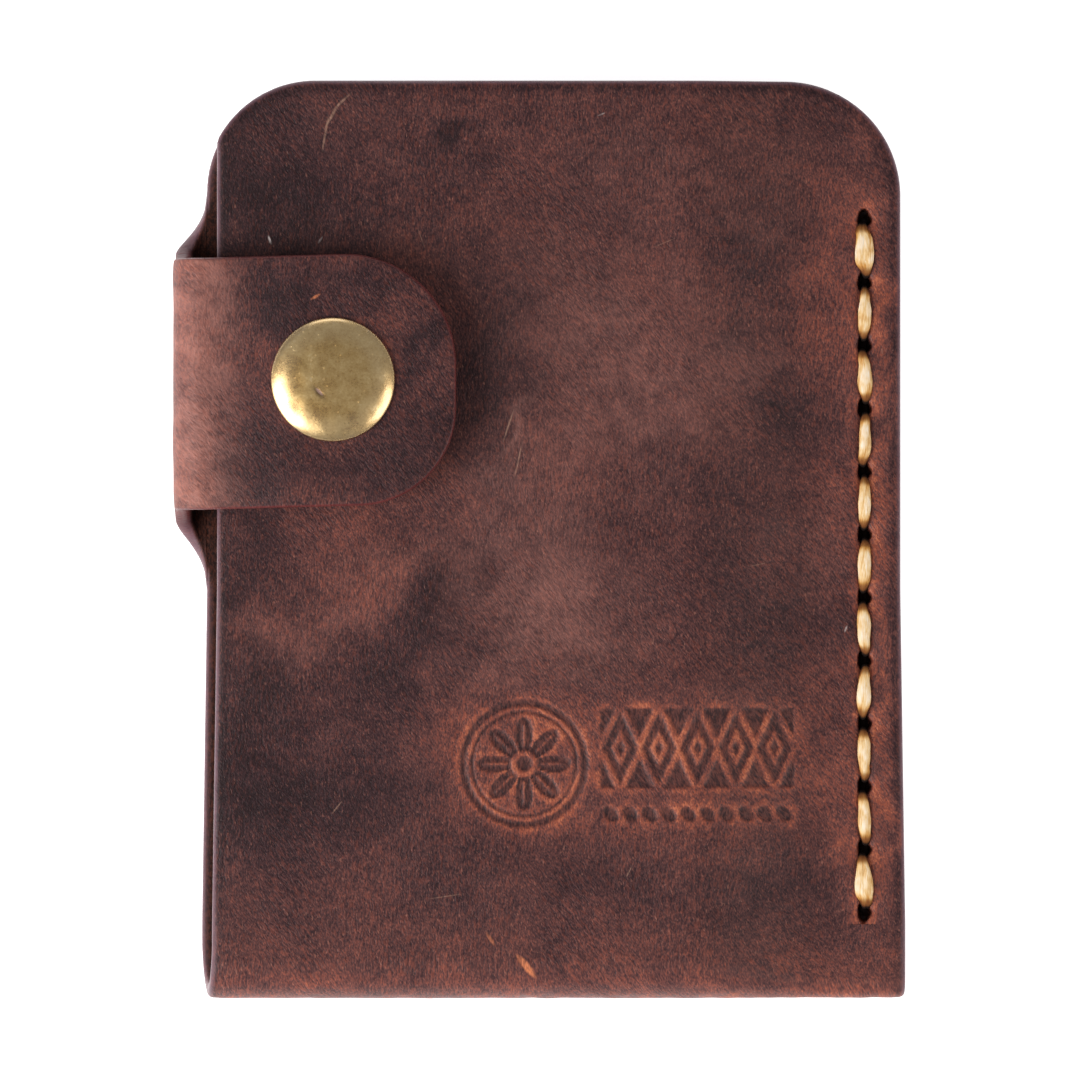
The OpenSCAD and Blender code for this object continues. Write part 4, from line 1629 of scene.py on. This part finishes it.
GOUGED, SCUFFED, LINT = paint(204, 122, 82), paint(158, 122, 104), paint(206, 192, 188)
SCRATCHES = [
    (-1.4, -42.9, 1.7, 0.42, -0.78, GOUGED, 0.9), (-5.0, -40.3, 1.0, 0.26, -1.0, GOUGED, 0.35),
    (*on_strap(-22.6, 24.2), 0.7, 0.2, 0.5, GOUGED, 0.6),
    (-20.0, 44.3, 1.6, 0.18, 0.75, SCUFFED, 0.4), (-21.0, 42.9, 1.8, 0.2, 1.05, SCUFFED, 0.5),
    (-21.7, 41.0, 2.3, 0.16, 1.4, SCUFFED, 0.45),
    (-3.2, 11.5, 2.2, 0.13, 1.25, SCUFFED, 0.5), (-2.2, 8.0, 2.4, 0.12, 1.35, SCUFFED, 0.45),
    (-20.5, -27.0, 1.1, 0.1, 0.9, SCUFFED, 0.4), (9.0, -33.5, 0.9, 0.1, 1.1, SCUFFED, 0.4),
    (12.5, 30.0, 1.8, 0.08, 0.4, SCUFFED, 0.3), (-12.0, 30.5, 1.4, 0.08, 1.9, SCUFFED, 0.3),
    (22.0, -2.5, 1.2, 0.08, 0.2, SCUFFED, 0.3), (-9.5, -36.0, 2.2, 0.09, 0.15, SCUFFED, 0.3),
    (-27.3, 30.3, 0.6, 0.16, -1.25, LINT, 0.7), (-22.2, 30.3, 0.5, 0.14, 1.0, LINT, 0.4),
    (6.2, 43.0, 0.5, 0.12, 0.4, LINT, 0.35), (31.0, -9.0, 0.5, 0.13, 1.2, LINT, 0.35),
]
print("scratches and lint:", len(SCRATCHES))

# %% [markdown]
# ## Leather finish
# One number, the tone, is built up from patches, grain, wear, and oil with a few painted shadows,
# and a ramp turns it into a colour. That keeps the browns of one family. What has a colour of its
# own is blended over it afterwards: bloom, which on the strap's upper bend and the fold's turn is a
# painted sheen; light fibre strokes, partly painted glints; the pressed mark; the painted shade in
# the stitch holes; scratches; and edges, whose pale lavender is partly a painted sheen.

# %% Leather finish


def leather_finish():
    """Tone = patches + grain + wear - oil and painted shadow, through a ramp from near black to
    orange.
    """
    leather = Finish("oiled_leather")
    hide = leather.attribute("hide", "Vector")
    wear, oil = leather.attribute("wear"), leather.attribute("oil")
    mark, edge = leather.attribute("mark"), leather.attribute("edge")
    flesh, bloom = leather.attribute("flesh"), leather.attribute("bloom")

    zone = leather.noise(hide, 0.05, 1.0).step(0.42, 0.58)
    turns = (0.05, -0.62)
    upright, leaning = [leather.stretched(hide, (4.6, 1.4, 1.0), turn) for turn in turns]
    fibres = [leather.noise(at, 1.0, 1.5, 0.5, 0.6) for at in (upright, leaning)]
    flecks = [leather.noise(at, 0.85, 1.0, 0.5, 0.5) for at in (upright, leaning)]
    soft_fibre = fibres[0] + (fibres[1] - fibres[0]) * zone
    fibre = soft_fibre.step(0.32, 0.68)
    fleck = flecks[0] + (flecks[1] - flecks[0]) * zone
    fine = leather.noise(leather.stretched(hide, (7.0, 3.6, 1.0), -0.3), 1.0, 1.0, 0.5)
    patch = leather.noise(hide, 0.12, 4.0, 0.6, 0.4)
    cloud = leather.noise(hide, 0.6, 4.0, 0.65)
    pore = leather.cells(leather.stretched(hide, (1.25, 1.0, 1.0), -0.3), 1.7)

    light_fibres_and_glints = leather.noise(leather.stretched(hide, (5.6, 1.9, 1.0), -0.2), 1.0, 1.5, 0.5, 0.4)
    tone = 0.40 + (patch - 0.5) * 0.40 + (cloud - 0.5) * 0.42
    grain = ((fibre - 0.5) * 0.23 + (fine - 0.5) * 0.70) * (1 - bloom * 0.45)
    # The dark mask here holds oil patches and a few painted shadows.
    tone = tone + grain + wear * 0.44 - oil * 0.28
    tone = tone - (1 - pore.step(0.05, 0.22)) * 0.12
    face = leather.tones(
        tone,
        (0.0, paint(34, 19, 22)), (0.22, paint(52, 31, 34)), (0.42, paint(78, 47, 46)),
        (0.60, paint(106, 62, 56)), (0.78, paint(142, 77, 60)), (1.0, paint(184, 106, 76)),
    )
    warm = fleck.step(0.53, 0.66) * (0.22 + wear * 0.5) * (1 - oil * 0.55)
    face = leather.blend(warm, face, paint(142, 72, 54))
    # Pale bloom: real wax bloom on the front, and a painted sheen on the strap's upper bend and the
    # fold's turn.
    pale_bloom_and_sheen = bloom * (0.25 + fibre * 0.3 + cloud.step(0.32, 0.62) * 0.35)
    face = leather.blend(pale_bloom_and_sheen, face, paint(166, 116, 106))
    # Light fibre strokes: partly the grain's own colour and partly painted glints of light on the
    # fibres.
    face = leather.blend(light_fibres_and_glints.step(0.62, 0.76) * (0.5 - oil * 0.2), face, paint(158, 104, 88))
    pressed = leather.tones(fibre, (0.3, paint(40, 26, 28)), (0.7, paint(80, 48, 45)))
    face = leather.blend(mark * 0.72, face, pressed)
    # The stitch holes are painted near black: a painted shade in each hole.
    face = leather.blend(leather.attribute("burn") * 0.92, face, paint(14, 8, 8))
    for along, across, half, width, turn, colour, strength in SCRATCHES:
        face = leather.blend(leather.streak(hide, along, across, half, width, turn)
                             * (strength * (0.5 + fibre)), face, colour)
    # The edge's pale lavender tone is partly the edge dye and partly a painted sheen of light on
    # the burnished edge.
    dyed_edge_and_sheen = leather.blend(cloud, paint(82, 54, 62), paint(122, 92, 102))
    cut_edge = leather.blend(cloud, paint(76, 32, 34), paint(122, 58, 56))
    side = leather.blend(leather.attribute("dyed"), cut_edge, dyed_edge_and_sheen)
    face = leather.blend(edge * 0.8, face, side)
    nap = leather.noise(leather.stretched(hide, (2.2, 1.4, 1.0)), 1.6, 3.0, 0.7)
    # The flesh side is painted dark brown: suede, darkened further as a painted shade for the
    # inside of the pocket.
    suede_and_pocket_shade = leather.blend(nap.step(0.35, 0.7), paint(32, 18, 16), paint(80, 42, 31))
    suede_and_pocket_shade = leather.blend(edge * 0.8, suede_and_pocket_shade, side)
    colour = leather.blend(flesh, face, suede_and_pocket_shade)

    height = soft_fibre * 0.65 + fine * 0.3 + cloud * 0.3 + pore.step(0.0, 0.25) * 0.2
    normal = leather.bumps(height, 0.11)
    rough = 0.50 + (cloud - 0.5) * 0.22 + (fine - 0.5) * 0.2 - wear * 0.03 + flesh * 0.35
    return leather.finished(
        {"IOR": 1.45, "Specular IOR Level": 0.25},
        Base_Color=colour, Roughness=rough - edge * 0.16, Normal=normal,
    )


oiled_leather = leather_finish()
for piece in (front, back, fold, *straps.values()):
    piece.data.materials.append(oiled_leather)
print("leather:", len(oiled_leather.node_tree.nodes), "nodes")

# %% [markdown]
# ## Thread finish
# Natural linen with beeswax: ivory on the crown of each strand, and darker honey in the crevices
# between strands, which is painted shade. Where it dives into the holes it has a dark stain, where
# it rubs the wet edge of the leather, and below the leather's face it is painted near black, a
# painted shade in the holes.

# %% Thread finish


def thread_finish():
    """Ivory to honey by fibre noise, darker by the crevice mask as painted shade between strands,
    and near black with depth below the leather's face as painted shade in the holes.
    """
    thread = Finish("waxed_linen")
    lay = thread.attribute("hide", "Vector")
    crevice = thread.attribute("crevice")
    sunk = thread.attribute("sunk")
    fibre = thread.noise(thread.stretched(lay, (5.5, 0.9, 1.0)), 1.0, 3.0, 0.6)
    slow = thread.noise(lay, 0.5, 2.0, 0.6)
    # Darker in the crevices between strands: painted shade.
    tone = 0.78 + (fibre - 0.5) * 1.1 + (slow - 0.5) * 1.2 - crevice * 0.45
    stain = thread.attribute("stain")
    # Darker as the thread sinks below the leather's face: painted shade in the hole.
    tone = tone - sunk.step(0.0, 0.4) * 0.3 - stain * (0.1 + fibre * 0.7)
    colour = thread.tones(
        tone, (0.0, paint(142, 86, 34)), (0.3, paint(204, 146, 74)),
        (0.65, paint(238, 204, 150)), (1.0, paint(252, 236, 214)),
    )
    colour = thread.blend(stain.step(0.4, 0.9) * (0.4 + fibre * 0.6), colour, paint(112, 66, 34))
    # Near black where the thread is sunk in a hole: painted shade.
    colour = thread.blend(sunk.step(0.25, 0.85), colour, paint(24, 12, 7))
    normal = thread.bumps(fibre, 0.06)
    return thread.finished(
        {"Specular IOR Level": 0.2},
        Base_Color=colour, Roughness=0.66 + sunk * 0.2, Normal=normal,
    )


waxed_linen = thread_finish()
for piece in bpy.data.objects:
    if piece.name.startswith("waxed_thread"):
        piece.data.materials.append(waxed_linen)
print("thread:", len(waxed_linen.node_tree.nodes), "nodes")

# %% [markdown]
# ## Aged brass and spring steel
# The brass is plated, then tumbled so that a brown-green film stays in the low places. Its nick
# shows bright metal, its shoulder is painted paler as a painted highlight for the crescents of
# light, and it has specks and hairline scratches.

# %% Metals


def brass_finish():
    """A golden metal darkened by film in patches, with specks and hairlines."""
    brass = Finish("aged_brass")
    place = brass.node("TexCoord", output="Object")
    at = brass.node("VectorMath", {"operation": "SCALE"}, {0: place, "Scale": 1000.0})
    film = brass.noise(at, 0.5, 4.0, 0.6, 0.3)
    fine = brass.noise(at, 4.5, 4.0, 0.75)
    speck = 1 - brass.cells(at, 1.15).step(0.05, 0.14)
    small = 1 - brass.cells(at, 3.1).step(0.05, 0.12)
    lines = brass.noise(brass.stretched(at, (9.0, 0.8, 1.0), 0.7), 1.0, 2.0, 0.8)
    tone = 0.5 + (film - 0.5) * 1.25 + (fine - 0.5) * 0.9
    colour = brass.tones(
        tone, (0.0, paint(166, 122, 68)), (0.4, paint(216, 174, 104)),
        (0.7, paint(236, 200, 134)), (1.0, paint(250, 226, 180)),
    )
    # The shoulder is painted paler: a painted highlight for the two crescents of light on the cap.
    colour = brass.blend(brass.attribute("shoulder") * 0.22, colour, paint(250, 228, 186))
    nick, bruise = brass.attribute("nick"), brass.attribute("bruise")
    colour = brass.blend((speck * 0.6 + small * 0.2) * fine.step(0.42, 0.6), colour,
                         paint(70, 46, 34))
    colour = brass.blend(bruise * 0.85, colour, paint(84, 50, 38))
    colour = brass.blend(nick.step(0.35, 0.8), colour, paint(246, 200, 176))
    colour = brass.blend(brass.attribute("rim") * film.step(0.45, 0.7) * 0.6, colour,
                         paint(120, 92, 84))
    rough = 0.30 + (film - 0.5) * 0.16 + (fine - 0.5) * 0.18 + speck * 0.2
    normal = brass.bumps(fine * 0.5 + lines * 0.4 - speck * 0.5, 0.012)
    return brass.finished({"Coat Weight": 1.0, "Coat Roughness": 0.16, "Coat IOR": 1.6},
                          Metallic=1 - speck * 0.5, Base_Color=colour, Roughness=rough,
                          Normal=normal)


def steel_finish():
    """Drawn steel wire: grey, with faint lines along its length."""
    steel = Finish("spring_steel")
    lay = steel.attribute("hide", "Vector")
    lines = steel.noise(steel.stretched(lay, (6.0, 0.5, 1.0)), 1.0, 3.0, 0.7)
    colour = steel.blend(lines, paint(120, 120, 122), paint(196, 196, 194))
    return steel.finished({"Metallic": 1.0}, Base_Color=colour,
                          Roughness=0.22 + lines * 0.2, Normal=steel.bumps(lines, 0.006))


aged_brass = brass_finish()
for piece in bpy.data.objects:
    if piece.name.startswith("brass_"):
        piece.data.materials.append(aged_brass)
spring.data.materials.append(steel_finish())
print("materials:", *sorted(material.name for material in bpy.data.materials))

# %% [markdown]
# ## The table
# A plain white sheet, lit so evenly that only a faint shadow shows where the wallet
# lies. A little light of its own keeps it white from every side.

# %% Table
bpy.ops.mesh.primitive_plane_add(size=4.0, location=(0, 0, -0.0002))
table = bpy.context.object
table.name = "table"
paper = Finish("white_paper")
paper.finished({"Base Color": (0.86, 0.86, 0.87, 1), "Roughness": 0.9,
                "Emission Color": (1, 1, 1, 1), "Emission Strength": 0.8})
table.data.materials.append(paper.material)
print("the table lies", round(-table.location.z / MM, 2), "mm below the wallet")

# %% [markdown]
# ## The end
# The finished model has to stay in the CAD model's box, apart from a few millimetres
# that soft things may stand proud.
